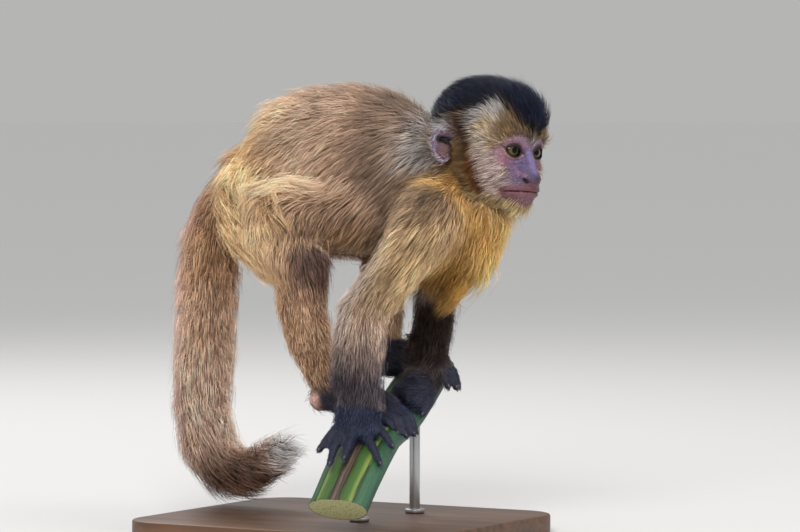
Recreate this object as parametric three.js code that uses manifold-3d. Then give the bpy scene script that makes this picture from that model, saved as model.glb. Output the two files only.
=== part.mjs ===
// A still, life-size capuchin monkey, crouched across a slanting palm stalk that a display stand holds.
// Millimetres. +X is forward along the body, +Y to the animal's left, +Z up.
// Every solid reaches out to the tips of the coat. Neighbours meet with a gap and never overlap.

import * as THREE from "three";
import { mergeVertices } from "three/addons/utils/BufferGeometryUtils.js";
import Module from "manifold-3d";

const wasm = await Module();
wasm.setup();

// ---------------------------------------------------------------- driving dimensions

const GAP = 0.3; // clearance between solids that touch
const SIDES = { right: -1, left: 1 };
const FORWARD = [1, 0, 0];
const UP = [0, 0, 1];

// Angles in degrees: negative yaw turns the face to the animal's right, pitch bows it,
// and roll drops the left ear.
const HEAD = { at: [68, -1, 85], yaw: -13, pitch: 8, roll: 7 };
const EYE = { radius: 8.2, at: [39.8, 12.3, 7], socket: 11.5, opening: 8.5 };
const EAR = { at: [-2, 36.5, 5], height: 30, width: 24, depth: 6, rim: 1.8, flare: 27 };

const BASE = { top: -188, thick: 14, length: 260, width: 224, corner: 32, bevel: 2, at: [-36, -24] };
const ROD = { radius: 4, reach: 95, places: [[-5, -52], [-1, 24]] }; // cut to length by the stalk

// ---------------------------------------------------------------- materials

const paint = (color, roughness = 0.9, metalness = 0) =>
  new THREE.MeshStandardMaterial({ color, roughness, metalness });

const MATERIAL = {
  cap: paint("#2b2526"),
  face: paint("#b98a94", 0.6),
  ear: paint("#9c7f95", 0.6),
  eye: paint("#3a2416", 0.1),
  chest: paint("#c9a26a"),
  back: paint("#9c7657"),
  rump: paint("#a98661"),
  arm: paint("#9a8270"),
  leg: paint("#8f6a50"),
  tail: paint("#7a5a48"),
  hand: paint("#3b3850", 0.6),
  stalk: paint("#5f8a2f", 0.6),
  wood: paint("#4a3426", 0.5),
  steel: paint("#8c8f93", 0.35, 1),
};

// ---------------------------------------------------------------- making solids

// A closed three.js geometry as a manifold, turned the right way out.
function solid(geometry) {
  const bare = new THREE.BufferGeometry();
  bare.setAttribute("position", geometry.attributes.position);
  bare.setIndex(geometry.index);
  const merged = mergeVertices(bare, 1e-4);
  const vertProperties = new Float32Array(merged.attributes.position.array);
  const triVerts = new Uint32Array(merged.index.array);
  const made = new wasm.Manifold(new wasm.Mesh({ numProp: 3, vertProperties, triVerts }));
  if (made.volume() > 0) return made;
  for (let i = 0; i < triVerts.length; i += 3) {
    [triVerts[i], triVerts[i + 1]] = [triVerts[i + 1], triVerts[i]];
  }
  return new wasm.Manifold(new wasm.Mesh({ numProp: 3, vertProperties, triVerts }));
}

// A closed surface through rings of equal length, with a pole point at each end.
function throughRings(rings, firstPole, lastPole) {
  const sides = rings[0].length;
  const positions = [firstPole, ...rings.flat(), lastPole].flatMap((p) => p.toArray());
  const last = positions.length / 3 - 1;
  const lastRing = 1 + (rings.length - 1) * sides;
  const index = [];
  for (let i = 0; i < sides; i += 1) {
    const j = (i + 1) % sides;
    index.push(0, 1 + j, 1 + i);
    for (let a = 1; a < lastRing; a += sides) {
      index.push(a + i, a + j, a + sides + i, a + sides + i, a + j, a + sides + j);
    }
    index.push(last, lastRing + i, lastRing + j);
  }
  const geometry = new THREE.BufferGeometry();
  geometry.setAttribute("position", new THREE.Float32BufferAttribute(positions, 3));
  geometry.setIndex(index);
  return geometry;
}

// The value of a smooth curve through a list of numbers, at a place that may be a fraction.
function smoothly(values, place) {
  const i = Math.min(Math.floor(place), values.length - 2);
  const t = place - i;
  const before = values[Math.max(i - 1, 0)];
  const after = values[Math.min(i + 2, values.length - 1)];
  const slopeIn = (values[i + 1] - before) / 2;
  const slopeOut = (after - values[i]) / 2;
  const rise = values[i + 1] - values[i];
  const bend = 3 * rise - 2 * slopeIn - slopeOut;
  const twist = slopeIn + slopeOut - 2 * rise;
  return values[i] + t * (slopeIn + t * (bend + t * twist));
}

// A round-ended geometry of oval section along a smooth centre line.
// Each station is [x, y, z, half width, half height], and up says which way the height points.
// Sections stand square to the line, or square to "facing" where one is given.
function loftGeometry(stations, { sides = 10, steps = 2, up = UP, facing, ends = [0.7, 0.7], grow = 0 }) {
  const capSteps = sides < 8 ? 2 : 3;
  const upward = new THREE.Vector3(...up);
  const curve = new THREE.CatmullRomCurve3(stations.map((s) => new THREE.Vector3(s[0], s[1], s[2])));
  const wide = stations.map((s) => s[3]);
  const high = stations.map((s) => s[4]);
  const count = (stations.length - 1) * steps;
  const heading = (t) => (facing ? new THREE.Vector3(...facing) : curve.getTangent(t));

  const ring = (t, scale, push) => {
    const along = t * (stations.length - 1);
    const tangent = heading(t);
    const side = new THREE.Vector3().crossVectors(tangent, upward).normalize();
    const top = new THREE.Vector3().crossVectors(side, tangent);
    const centre = curve.getPoint(t).addScaledVector(tangent, push);
    const halfWidth = (smoothly(wide, along) + grow) * scale;
    const halfHeight = (smoothly(high, along) + grow) * scale;
    return Array.from({ length: sides }, (_, i) => {
      const angle = (2 * Math.PI * i) / sides;
      const across = centre.clone().addScaledVector(side, Math.cos(angle) * halfWidth);
      return across.addScaledVector(top, Math.sin(angle) * halfHeight);
    });
  };
  const capped = (t, end, station) => {
    const reach = ends[end] * Math.min(station[3], station[4]) + grow;
    const outward = end ? reach : -reach;
    const angles = Array.from({ length: capSteps - 1 }, (_, i) => ((i + 1) * Math.PI) / 2 / capSteps);
    const rings = angles.map((a) => ring(t, Math.cos(a), outward * Math.sin(a)));
    return { rings, pole: curve.getPoint(t).addScaledVector(heading(t), outward) };
  };
  const start = capped(0, 0, stations[0]);
  const finish = capped(1, 1, stations.at(-1));
  const middle = Array.from({ length: count + 1 }, (_, i) => ring(i / count, 1, 0));
  return throughRings([...start.rings.reverse(), ...middle, ...finish.rings], start.pole, finish.pole);
}

const loft = (stations, options = {}) => solid(loftGeometry(stations, options));

// What is left of a shape beyond a plane, or short of it. A joint is a point on the plane
// and the way onward.
function beyond(shape, { at, onward }, grow) {
  const normal = new THREE.Vector3(...onward).normalize();
  return shape.trimByPlane(normal.toArray(), normal.dot(new THREE.Vector3(...at)) + GAP / 2 - grow);
}
const shortOf = (shape, { at, onward }, grow) => beyond(shape, { at, onward: onward.map((n) => -n) }, grow);

// ---------------------------------------------------------------- head

const radians = THREE.MathUtils.degToRad;
const headTurn = new THREE.Euler(radians(-HEAD.roll), radians(HEAD.pitch), radians(HEAD.yaw), "ZYX");
const headFrame = new THREE.Matrix4().makeRotationFromEuler(headTurn).setPosition(...HEAD.at);

const ofHead = (geometry) => solid(geometry.applyMatrix4(headFrame));

// Cross-sections of the head from the throat to the crown, in the head's frame:
// [height, back, front, half width, squareness of the front].
const HEAD_LEVELS = [
  [-36, -6, 44, 15, 2.2],
  [-26, -24, 49, 27, 2.6],
  [-14, -34, 49, 33, 3],
  [-2, -38, 47, 35, 3.2],
  [8, -40, 47, 35, 3.2],
  [17, -41, 49, 37, 2.9],
  [27, -41, 49, 39.5, 2.6],
  [38, -38, 47, 38, 2.3],
  [48, -31, 42, 32, 2.1],
  [55, -20, 33, 23, 2],
];
const HEAD_TOP = 60;
const HEAD_BOTTOM = -41;
const HEAD_WIDEST = 12; // how far forward of the ears the head is widest
const BACK_SQUARENESS = 2.1;

function headForm(grow) {
  const sides = 20;
  const rings = HEAD_LEVELS.map(([height, back, front, half, squareness]) =>
    Array.from({ length: sides }, (_, i) => {
      const angle = (2 * Math.PI * i) / sides;
      const facing = Math.cos(angle) > 0;
      const reach = (facing ? front - HEAD_WIDEST : HEAD_WIDEST - back) + grow;
      const power = 2 / (facing ? squareness : BACK_SQUARENESS);
      const round = (value) => Math.sign(value) * Math.abs(value) ** power;
      const along = HEAD_WIDEST + reach * round(Math.cos(angle));
      return new THREE.Vector3(along, (half + grow) * round(Math.sin(angle)), height);
    }),
  );
  const bottom = new THREE.Vector3(HEAD_WIDEST, 0, HEAD_BOTTOM - grow);
  const top = new THREE.Vector3(HEAD_WIDEST, 0, HEAD_TOP + grow);
  return ofHead(throughRings(rings, bottom, top));
}

const MUZZLE = [
  [26, 0, -17, 21, 20],
  [40, 0, -19, 18, 18],
  [52, 0, -22, 14.5, 14.5],
];
const NOSE = [
  [43, 0, 9, 5.5, 5],
  [50, 0, -2, 6.5, 6],
  [54.5, 0, -12, 8.5, 5.5],
];

function muzzleForm(grow) {
  const jaws = ofHead(loftGeometry(MUZZLE, { sides: 12, ends: [0.3, 0.75], grow }));
  const nose = ofHead(loftGeometry(NOSE, { sides: 8, up: FORWARD, ends: [0.5, 0.6], grow }));
  return jaws.add(nose);
}

const eyeAt = (side) => [EYE.at[0], EYE.at[1] * side, EYE.at[2]];

function eyeball(side, grow) {
  return ofHead(new THREE.SphereGeometry(EYE.radius + grow, 10, 8).translate(...eyeAt(side)));
}

// The hollow in front of the eyeball, between the lids.
function eyeOpening(side) {
  const [x, y, z] = eyeAt(side);
  return ofHead(new THREE.SphereGeometry(EYE.opening, 8, 6).translate(x + EYE.socket, y, z));
}

// A thin oval dish, hollow side outward, whose hind edge stands away from the head.
function earForm(side, grow) {
  const profile = [
    [0, -EAR.depth - grow],
    [0.6, -EAR.depth * 0.75 - grow],
    [1, -grow],
    [0.93, EAR.rim + grow],
    [0.8, EAR.rim * 0.4 + grow],
    [0.5, -EAR.depth * 0.45 + grow],
    [0, -EAR.depth * 0.55 + grow],
  ];
  const dish = new THREE.LatheGeometry(profile.map(([r, z]) => new THREE.Vector2(r, z)), 12);
  dish.scale(EAR.width / 2 + grow, 1, EAR.height / 2 + grow);
  dish.rotateZ(radians(-EAR.flare));
  dish.translate(...EAR.at);
  dish.scale(1, side, 1);
  return ofHead(dish);
}

// ---------------------------------------------------------------- trunk and neck

// Stations along the body: [x, y, z, half width, half height].
const TRUNK = [
  [-124, 0, 60, 36, 34],
  [-100, 0, 69, 48, 53],
  [-62, 0, 76, 53, 61],
  [-20, 0, 73, 52, 63],
  [15, 0, 59, 49, 65],
  [42, 0, 36, 44, 64],
  [64, 0, 35, 36, 44],
];
const LOIN = { at: [-84, 0, 0], onward: FORWARD };
const RIBS = { at: [-28, 0, 0], onward: FORWARD };

const NECK = [
  [14, 0, 66, 40, 48],
  [42, -1, 66, 38, 47],
  [66, -2, 58, 34, 40],
  [84, -3, 50, 27, 28],
];

const trunkForm = (grow) => loft(TRUNK, { sides: 16, facing: FORWARD, ends: [0.75, 0.7], grow });

// ---------------------------------------------------------------- limbs

const ARMS = {
  right: {
    upper: [
      [52, -34, 48, 25, 28],
      [47, -51, 28, 24, 27],
      [34, -67, 1, 21, 22],
      [16, -78, -26, 19, 20],
      [6, -82, -44, 18, 18],
    ],
    elbow: { at: [17, -79, -23], onward: [-0.35, -0.1, -1] },
    fore: [
      [22, -77, -4, 17, 17],
      [16, -79, -24, 19.5, 20],
      [11, -80, -48, 19.5, 20],
      [6, -78, -74, 18, 19],
      [7, -74, -100, 15, 17],
    ],
    wrist: { at: [7, -75, -95], onward: [0.1, -0.25, -1] },
    palm: [
      [6, -70, -88, 14, 13],
      [11, -81, -105, 17, 11],
      [17, -94, -118, 17, 8],
    ],
    palmUp: [0.45, -0.55, 0.7],
    digits: {
      thumb: [[27, -82, -113], [38, -87, -120], [46, -91, -127]],
      index: [[22, -90, -117], [34, -98, -128], [44, -105, -139]],
      middle: [[16, -95, -118], [18, -107, -128], [20, -116, -135]],
      ring: [[8, -98, -118], [9, -112, -129], [12, -123, -139]],
      little: [[4, -92, -111], [1, -107, -122], [0, -118, -130]],
    },
  },
  left: {
    upper: [
      [44, 32, 40, 23, 26],
      [32, 43, 18, 21, 23],
      [14, 52, -6, 18.5, 19.5],
      [-4, 57, -28, 17, 17],
    ],
    elbow: { at: [0, 55, -21], onward: [-0.2, -0.2, -1] },
    fore: [
      [-6, 60, -4, 16, 16],
      [0, 54, -26, 17.5, 17],
      [6, 40, -48, 16.5, 16],
      [12, 19, -72, 15, 15],
      [18, -3, -94, 12.5, 13.5],
    ],
    wrist: { at: [15, 6, -85], onward: [0.2, -0.8, -0.8] },
    palm: [
      [14, 10, -80, 13, 12],
      [19, -3, -93, 14.5, 11],
      [14, -12, -98, 16, 8],
    ],
    palmUp: [0.6, 0.3, 0.7],
    digits: {
      thumb: [[24, -3, -95], [29, -7, -103], [27, -13, -110]],
      index: [[5, -7, -97], [-8, -7, -99], [-19, -7, -105]],
      middle: [[4, -14, -98], [-9, -14, -101], [-20, -14, -107]],
      ring: [[5, -20, -100], [-7, -20, -103], [-16, -20, -108]],
      little: [[10, -25, -102], [2, -26, -105], [-5, -26, -108]],
    },
  },
};

const LEGS = {
  right: {
    thigh: [
      [-110, -26, 48, 34, 38],
      [-91, -42, 33, 32, 36],
      [-68, -57, 14, 27, 30],
      [-46, -66, 0, 22, 25],
      [-24, -72, -14, 17, 18],
    ],
    knee: { at: [-52, -66, -3], onward: [0.6, -0.1, -1.3] },
    shank: [
      [-38, -68, 22, 17, 17],
      [-47, -66, 0, 19, 21],
      [-51, -61, -26, 18, 21],
      [-48, -54, -54, 16.5, 19],
      [-41, -46, -80, 13, 15],
      [-37, -41, -100, 11, 13],
    ],
    ankle: { at: [-39, -44, -88], onward: [0.3, 0.1, -1] },
    foot: [
      [-46, -43, -100, 11, 10],
      [-33, -42, -95, 13, 15],
      [-10, -41, -97, 14.5, 15],
      [10, -42, -103, 16, 10],
    ],
    digits: {
      hallux: [[-8, -31, -103], [-21, -30, -111], [-24, -29, -123]],
      second: [[15, -34, -104], [29, -35, -109], [35, -37, -121]],
      third: [[17, -41, -105], [31, -42, -110], [37, -44, -122]],
      fourth: [[16, -48, -106], [29, -49, -112], [34, -50, -123]],
      fifth: [[13, -54, -108], [24, -55, -114], [29, -56, -124]],
    },
  },
  left: {
    thigh: [
      [-110, 26, 48, 34, 38],
      [-94, 48, 38, 30, 34],
      [-76, 72, 26, 25, 27],
      [-56, 94, 14, 18, 19],
    ],
    knee: { at: [-65, 83, 17], onward: [0.9, 0.16, -1.1] },
    shank: [
      [-70, 94, 36, 16, 16],
      [-64, 84, 15, 18.5, 19.5],
      [-52, 66, -12, 17.5, 19],
      [-39, 47, -38, 13.5, 15],
      [-27, 29, -64, 11, 12],
    ],
    ankle: { at: [-30, 33, -58], onward: [0.3, -0.5, -1] },
    foot: [
      [-36, 25, -73, 11, 12],
      [-23, 25, -71, 12, 15],
      [-4, 25, -71, 14, 14],
      [14, 25, -73, 14.5, 9],
    ],
    digits: {
      hallux: [[-15, 15, -77], [-28, 11, -84], [-30, 9, -96]],
      second: [[18, 16, -74], [28, 16, -80], [32, 16, -91]],
      third: [[20, 22.5, -74], [31, 22.5, -80], [35, 23, -92]],
      fourth: [[20, 29, -74], [30, 29, -80], [34, 29.5, -92]],
      fifth: [[17, 35.5, -75], [26, 35.5, -80], [30, 36, -90]],
    },
  },
};

const FINGER = { root: 5.2, tip: 3.4, sides: 6 };

// A finger or toe from three joint points, thick at the root.
function digitForm(points, grow) {
  const stations = points.map((point, i) => {
    const radius = THREE.MathUtils.lerp(FINGER.root, FINGER.tip, i / (points.length - 1));
    return [...point, radius, radius];
  });
  return loft(stations, { sides: FINGER.sides, steps: 1, up: [0.3, 0.9, 0.1], ends: [0.5, 0.9], grow });
}

// ---------------------------------------------------------------- tail

// Stations of the tail in the body's plane: [x, y, z, half width, half height].
const TAIL = [
  [-132, 0, 60, 22, 24],
  [-153, 0, 40, 21, 23],
  [-165, 0, 12, 19, 20.5],
  [-169, 0, -24, 18.5, 19.5],
  [-173, 0, -66, 19, 19.5],
  [-177, 0, -108, 18.5, 19],
  [-173, 0, -142, 17.5, 18.5],
  [-155, 0, -162, 16, 17],
  [-133, 0, -162, 14.5, 15],
  [-115, 0, -150, 12, 12.5],
  [-102, 0, -139, 8, 8.5],
];
const TAIL_LENGTHS = 5;

// ---------------------------------------------------------------- perch and stand

const STALK = [
  [22, -128, -171, 24, 12],
  [21, -106, -149, 24, 12],
  [17, -83, -134, 24, 12],
  [11, -62, -127.5, 23.5, 11.5],
  [7, -45, -124, 23, 11.5],
  [2, -14, -116, 23, 11],
  [-3, 24, -97, 22, 11],
  [-8, 58, -78, 21, 10],
];

// ---------------------------------------------------------------- assembling

const model = new THREE.Group();
model.name = "capuchin_monkey";

// Each part made so far, a little larger than life: what comes later is cut back to it.
const placed = [];

// Adds a named mesh: the shape less everything placed before it, with the gap between.
function place(name, makeShape, material) {
  const reach = makeShape(0).boundingBox();
  const touches = ({ min, max }) => [0, 1, 2].every((k) => min[k] < reach.max[k] && max[k] > reach.min[k]);
  const neighbours = placed.filter((other) => touches(other.boundingBox()));
  const shape = neighbours.reduce((rest, other) => rest.subtract(other), makeShape(0));
  const pieces = shape.decompose();
  const whole = pieces.reduce((best, piece) => (piece.volume() > best.volume() ? piece : best));
  placed.push(makeShape(GAP));
  const { vertProperties, triVerts } = whole.getMesh();
  const geometry = new THREE.BufferGeometry();
  geometry.setAttribute("position", new THREE.Float32BufferAttribute(vertProperties, 3));
  geometry.setIndex(new THREE.Uint32BufferAttribute(triVerts, 1));
  geometry.computeVertexNormals();
  const mesh = new THREE.Mesh(geometry, material);
  mesh.name = name;
  model.add(mesh);
}

for (const [word, side] of Object.entries(SIDES)) {
  place(`eye_${word}`, (grow) => eyeball(side, grow), MATERIAL.eye);
}
const faceHollows = (grow) => eyeOpening(SIDES.left).add(eyeOpening(SIDES.right));
place("muzzle", (grow) => muzzleForm(grow).subtract(faceHollows()), MATERIAL.face);
place("head", (grow) => headForm(grow).subtract(faceHollows()), MATERIAL.cap);
for (const [word, side] of Object.entries(SIDES)) {
  place(`ear_${word}`, (grow) => earForm(side, grow), MATERIAL.ear);
}

place("chest", (grow) => beyond(trunkForm(grow), RIBS, grow), MATERIAL.chest);
place("abdomen", (grow) => beyond(shortOf(trunkForm(grow), RIBS, grow), LOIN, grow), MATERIAL.back);
place("pelvis", (grow) => shortOf(trunkForm(grow), LOIN, grow), MATERIAL.rump);
place(
  "neck",
  (grow) => loft(NECK, { sides: 12, steps: 1, facing: FORWARD, ends: [0.4, 0.6], grow }),
  MATERIAL.chest,
);

place(
  "perch_stem",
  (grow) => loft(STALK, { sides: 10, up: [0, -0.3, 1], ends: [0, 0], grow }),
  MATERIAL.stalk,
);

for (const [word, arm] of Object.entries(ARMS)) {
  const upper = (grow) => loft(arm.upper, { steps: 1, up: FORWARD, grow });
  const fore = (grow) => loft(arm.fore, { steps: 1, up: FORWARD, grow });
  const middle = (grow) => shortOf(beyond(fore(grow), arm.elbow, grow), arm.wrist, grow);
  const palm = (grow) => loft(arm.palm, { up: arm.palmUp, grow });
  place(`upper_arm_${word}`, (grow) => shortOf(upper(grow), arm.elbow, grow), MATERIAL.arm);
  place(`forearm_${word}`, middle, MATERIAL.arm);
  place(`hand_${word}`, (grow) => beyond(palm(grow), arm.wrist, grow), MATERIAL.hand);
  for (const [digit, points] of Object.entries(arm.digits)) {
    place(`${digit}_${word}_hand`, (grow) => digitForm(points, grow), MATERIAL.hand);
  }
}
for (const [word, leg] of Object.entries(LEGS)) {
  const thigh = (grow) => loft(leg.thigh, { steps: 1, grow });
  const shank = (grow) => loft(leg.shank, { steps: 1, up: FORWARD, grow });
  const middle = (grow) => shortOf(beyond(shank(grow), leg.knee, grow), leg.ankle, grow);
  const foot = (grow) => loft(leg.foot, { grow });
  place(`thigh_${word}`, (grow) => shortOf(thigh(grow), leg.knee, grow), MATERIAL.leg);
  place(`shank_${word}`, middle, MATERIAL.leg);
  place(`foot_${word}`, (grow) => foot(grow), MATERIAL.hand);
  for (const [digit, points] of Object.entries(leg.digits)) {
    place(`${digit}_${word}_foot`, (grow) => digitForm(points, grow), MATERIAL.hand);
  }
}

// The tail is one smooth loft, parted across its centre line into equal lengths.
const tailLoft = (grow) => loft(TAIL, { sides: 10, steps: 1, up: [0, 1, 0], ends: [0.5, 1], grow });
const tailLine = new THREE.CatmullRomCurve3(TAIL.map(([x, y, z]) => new THREE.Vector3(x, y, z)));

function tailJoint(index) {
  const t = index / TAIL_LENGTHS;
  return { at: tailLine.getPointAt(t).toArray(), onward: tailLine.getTangentAt(t).toArray() };
}

function tailLength(index, grow) {
  let length = tailLoft(grow);
  if (index > 0) length = beyond(length, tailJoint(index), grow);
  if (index < TAIL_LENGTHS - 1) length = shortOf(length, tailJoint(index + 1), grow);
  return length;
}

for (let i = 0; i < TAIL_LENGTHS; i += 1) {
  place(`tail_${i + 1}`, (grow) => tailLength(i, grow), MATERIAL.tail);
}

// A plain base with rounded corners and a bevelled edge.
function baseForm() {
  const { length, width, corner, bevel, thick, top, at } = BASE;
  const x = length / 2 - bevel - corner;
  const y = width / 2 - bevel - corner;
  const outline = new THREE.Shape();
  outline.absarc(x, y, corner, 0, Math.PI / 2);
  outline.absarc(-x, y, corner, Math.PI / 2, Math.PI);
  outline.absarc(-x, -y, corner, Math.PI, Math.PI * 1.5);
  outline.absarc(x, -y, corner, Math.PI * 1.5, Math.PI * 2);
  const plate = new THREE.ExtrudeGeometry(outline, {
    depth: thick - 2 * bevel,
    bevelSize: bevel,
    bevelThickness: bevel,
    bevelSegments: 1,
    curveSegments: 4,
  });
  plate.translate(at[0], at[1], top - thick + bevel);
  return solid(plate);
}

function rodForm([x, y], grow) {
  const rod = new THREE.CylinderGeometry(ROD.radius + grow, ROD.radius + grow, ROD.reach, 10);
  rod.rotateX(Math.PI / 2);
  rod.translate(x, y, BASE.top + GAP + ROD.reach / 2);
  return solid(rod);
}

place("stand_base", () => baseForm(), MATERIAL.wood);
ROD.places.forEach((at, i) => {
  place(`stand_rod_${i + 1}`, (grow) => rodForm(at, grow), MATERIAL.steel);
});

// The origin is on the underside, in the middle of the whole model.
const bounds = new THREE.Box3().setFromObject(model);
const middle = bounds.getCenter(new THREE.Vector3());
model.position.set(-middle.x, -middle.y, -bounds.min.z);

export default model;
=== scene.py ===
"""A life-size capuchin monkey, still and crouched across a cut palm stalk that a display stand holds.

The skin, coat, eyes, nails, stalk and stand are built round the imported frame. Shapes are worked out in
millimetres and written as metres.
"""

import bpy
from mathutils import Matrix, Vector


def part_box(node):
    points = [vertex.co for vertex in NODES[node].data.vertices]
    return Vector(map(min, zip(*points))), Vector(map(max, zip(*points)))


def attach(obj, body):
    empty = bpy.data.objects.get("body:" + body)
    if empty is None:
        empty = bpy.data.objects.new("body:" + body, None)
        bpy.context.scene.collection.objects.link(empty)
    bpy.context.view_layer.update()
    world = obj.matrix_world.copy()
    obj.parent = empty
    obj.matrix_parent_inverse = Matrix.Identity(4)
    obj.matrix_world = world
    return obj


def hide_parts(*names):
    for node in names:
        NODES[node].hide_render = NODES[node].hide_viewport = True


bl_info = {
    "name": "Capuchin Monkey",
    "version": (1, 0, 0),
    "blender": (4, 5, 0),
    "location": "View3D > Sidebar > Capuchin",
    "description": "Builds a still, life-size capuchin monkey on a cut stalk and a display stand",
    "category": "Object",
}

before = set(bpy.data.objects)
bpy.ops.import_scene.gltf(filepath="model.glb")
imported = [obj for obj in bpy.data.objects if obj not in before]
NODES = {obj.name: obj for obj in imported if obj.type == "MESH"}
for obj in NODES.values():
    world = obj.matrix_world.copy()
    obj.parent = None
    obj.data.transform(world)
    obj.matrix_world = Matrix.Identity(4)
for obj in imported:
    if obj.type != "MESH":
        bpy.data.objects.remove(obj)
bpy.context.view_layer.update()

import math
from functools import partial

import bpy
import numpy as np
from bpy.props import FloatProperty, FloatVectorProperty, IntProperty, PointerProperty
from mathutils import Vector
from mathutils.bvhtree import BVHTree
from mathutils.kdtree import KDTree

MM = 0.001

# ---------------------------------------------------------------- the body's places

SIDES = {"right": -1.0, "left": 1.0}
AIM = np.array((34.62, 14.27, 202.0))  # where the camera looks, and the origin of the places below
HEAD_AT = AIM + (68.0, -1.0, 85.0)  # between the ear canals
HEAD_TURN = (-13.0, 8.0, -4.5)  # yaw, pitch and roll in degrees
EYE_AT = np.array((38.4, 12.2, 7.7))  # the left eye, in the head's own axes
EYE_RADIUS = 8.2
EYE_BULGE = 0.75  # how far the clear front of the eye stands out over the iris
EAR_AT = np.array((-2.0, 36.0, 5.0))
EAR_FLARE = math.radians(27)
EAR_CANAL = ((4.5, 36.0, 1.5), (3.5, 28.0, 0.5))
NOSTRIL = ((55.8, 9.6, -11.0), (57.3, 7.4, -13.0), 0.8, 1.3)

HAND_DIGITS = ("thumb", "index", "middle", "ring", "little")
FOOT_DIGITS = ("hallux", "second", "third", "fourth", "fifth")
ENDS = {"hand": HAND_DIGITS, "foot": FOOT_DIGITS}
ARM = ("upper_arm", "forearm", "hand")
LEG = ("thigh", "shank", "foot")
DIGITS = [f"{digit}_{side}_{end}" for end, digits in ENDS.items() for side in SIDES for digit in digits]
LIMBS = [f"{part}_{side}" for limb in (ARM, LEG) for side in SIDES for part in limb]
TAIL = [f"tail_{i}" for i in range(1, 6)]
FACE = ["head", "muzzle", "ear_right", "ear_left"]
BODY = ["neck", "chest", "abdomen", "pelvis"] + LIMBS + DIGITS + TAIL

# ---------------------------------------------------------------- small tools


def rotation(*turns):
    """Turns about Z, then Y, then X, in degrees, as a matrix."""
    (cz, sz), (cy, sy), (cx, sx) = ((math.cos(a), math.sin(a)) for a in map(math.radians, turns))
    about_z = np.array(((cz, -sz, 0), (sz, cz, 0), (0, 0, 1)))
    about_y = np.array(((cy, 0, sy), (0, 1, 0), (-sy, 0, cy)))
    about_x = np.array(((1, 0, 0), (0, cx, -sx), (0, sx, cx)))
    return about_z @ about_y @ about_x


HEAD_AXES = rotation(*HEAD_TURN)


def to_head(points):
    return (points - HEAD_AT) @ HEAD_AXES


def from_head(points):
    return points @ HEAD_AXES.T + HEAD_AT


def unit(vectors):
    return vectors / np.maximum(np.linalg.norm(vectors, axis=-1, keepdims=True), 1e-9)


def ramp(low, high, values):
    """0 below low, 1 above high and smooth between."""
    t = np.clip((values - low) / (high - low), 0, 1)
    return t * t * (3 - 2 * t)


def hump(values, centre, width):
    return np.exp(-(((values - centre) / width) ** 2))


def linear(code):
    """The linear colour of an sRGB hex code."""
    srgb = np.array([int(code[i : i + 2], 16) / 255 for i in (1, 3, 5)])
    return np.where(srgb <= 0.04045, srgb / 12.92, ((srgb + 0.055) / 1.055) ** 2.4)


def blend(a, b, amount):
    return a + (b - a) * amount[:, None]


def points_of(mesh):
    flat = np.empty(len(mesh.vertices) * 3, np.float32)
    mesh.vertices.foreach_get("co", flat)
    return flat.reshape(-1, 3).astype(np.float64) / MM


def move_points(obj, points):
    obj.data.vertices.foreach_set("co", (points * MM).astype(np.float32).ravel())


def triangles_of(mesh):
    mesh.calc_loop_triangles()
    flat = np.empty(len(mesh.loop_triangles) * 3, np.int32)
    mesh.loop_triangles.foreach_get("vertices", flat)
    return flat.reshape(-1, 3)


def halved(quads):
    """The triangles of an array of quads."""
    return np.concatenate((quads[:, (0, 1, 2)], quads[:, (0, 2, 3)]))


def area_normals(points, triangles):
    """Each triangle's normal, as long as twice its area."""
    a, b, c = (points[triangles[:, k]] for k in range(3))
    return np.cross(b - a, c - a)


def normals_of(points, triangles):
    """Vertex normals, weighted by area."""
    across = area_normals(points, triangles)
    total = np.zeros_like(points)
    for k in range(3):
        for axis in range(3):
            total[:, axis] += np.bincount(triangles[:, k], across[:, axis], len(points))
    return unit(total)


def new_piece(name, points, faces):
    """A smooth object from points in millimetres and an array of triangles or quads."""
    mesh = bpy.data.meshes.new(name)
    count, sides = faces.shape
    mesh.vertices.add(len(points))
    mesh.loops.add(count * sides)
    mesh.loops.foreach_set("vertex_index", faces.astype(np.int32).ravel())
    mesh.polygons.add(count)
    mesh.polygons.foreach_set("loop_start", np.arange(0, count * sides, sides, dtype=np.int32))
    mesh.polygons.foreach_set("use_smooth", np.ones(count, bool))
    obj = bpy.data.objects.new(name, mesh)
    move_points(obj, points)
    mesh.update(calc_edges=True)
    mesh.validate()
    bpy.context.scene.collection.objects.link(obj)
    return obj


def paint_points(obj, name, colours):
    """Stores a linear colour for each point of a piece."""
    rgba = np.ones((len(colours), 4), np.float32)
    rgba[:, :3] = np.clip(colours, 0, 1)
    obj.data.color_attributes.new(name, "FLOAT_COLOR", "POINT").data.foreach_set("color", rgba.ravel())


def only(obj):
    """Makes obj the one selected and active object."""
    bpy.ops.object.select_all(action="DESELECT")
    obj.select_set(True)
    bpy.context.view_layer.objects.active = obj


def added(primitive, name="", **settings):
    """A new primitive, the one selected object, under its own name."""
    bpy.ops.object.select_all(action="DESELECT")
    getattr(bpy.ops.mesh, f"primitive_{primitive}_add")(**settings)
    obj = bpy.context.object
    obj.name = obj.data.name = name or obj.name
    return obj


def apply_modifier(obj, kind, **settings):
    only(obj)
    modifier = obj.modifiers.new(kind.title(), kind)
    for key, value in settings.items():
        setattr(modifier, key, value)
    bpy.ops.object.modifier_apply(modifier=modifier.name)


def thin_out(obj, covered, ratio):
    """Leaves fewer triangles where the coat covers the skin."""
    group = obj.vertex_groups.new(name="covered")
    for level in range(11):
        group.add(np.flatnonzero(np.round(covered * 10) == level).tolist(), level / 10, "REPLACE")
    apply_modifier(obj, "DECIMATE", ratio=ratio, vertex_group="covered", vertex_group_factor=1.0)
    obj.vertex_groups.clear()


def union(obj, *others):
    for other in others:
        apply_modifier(obj, "BOOLEAN", operation="UNION", object=other, solver="MANIFOLD")
        bpy.data.objects.remove(other)


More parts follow.
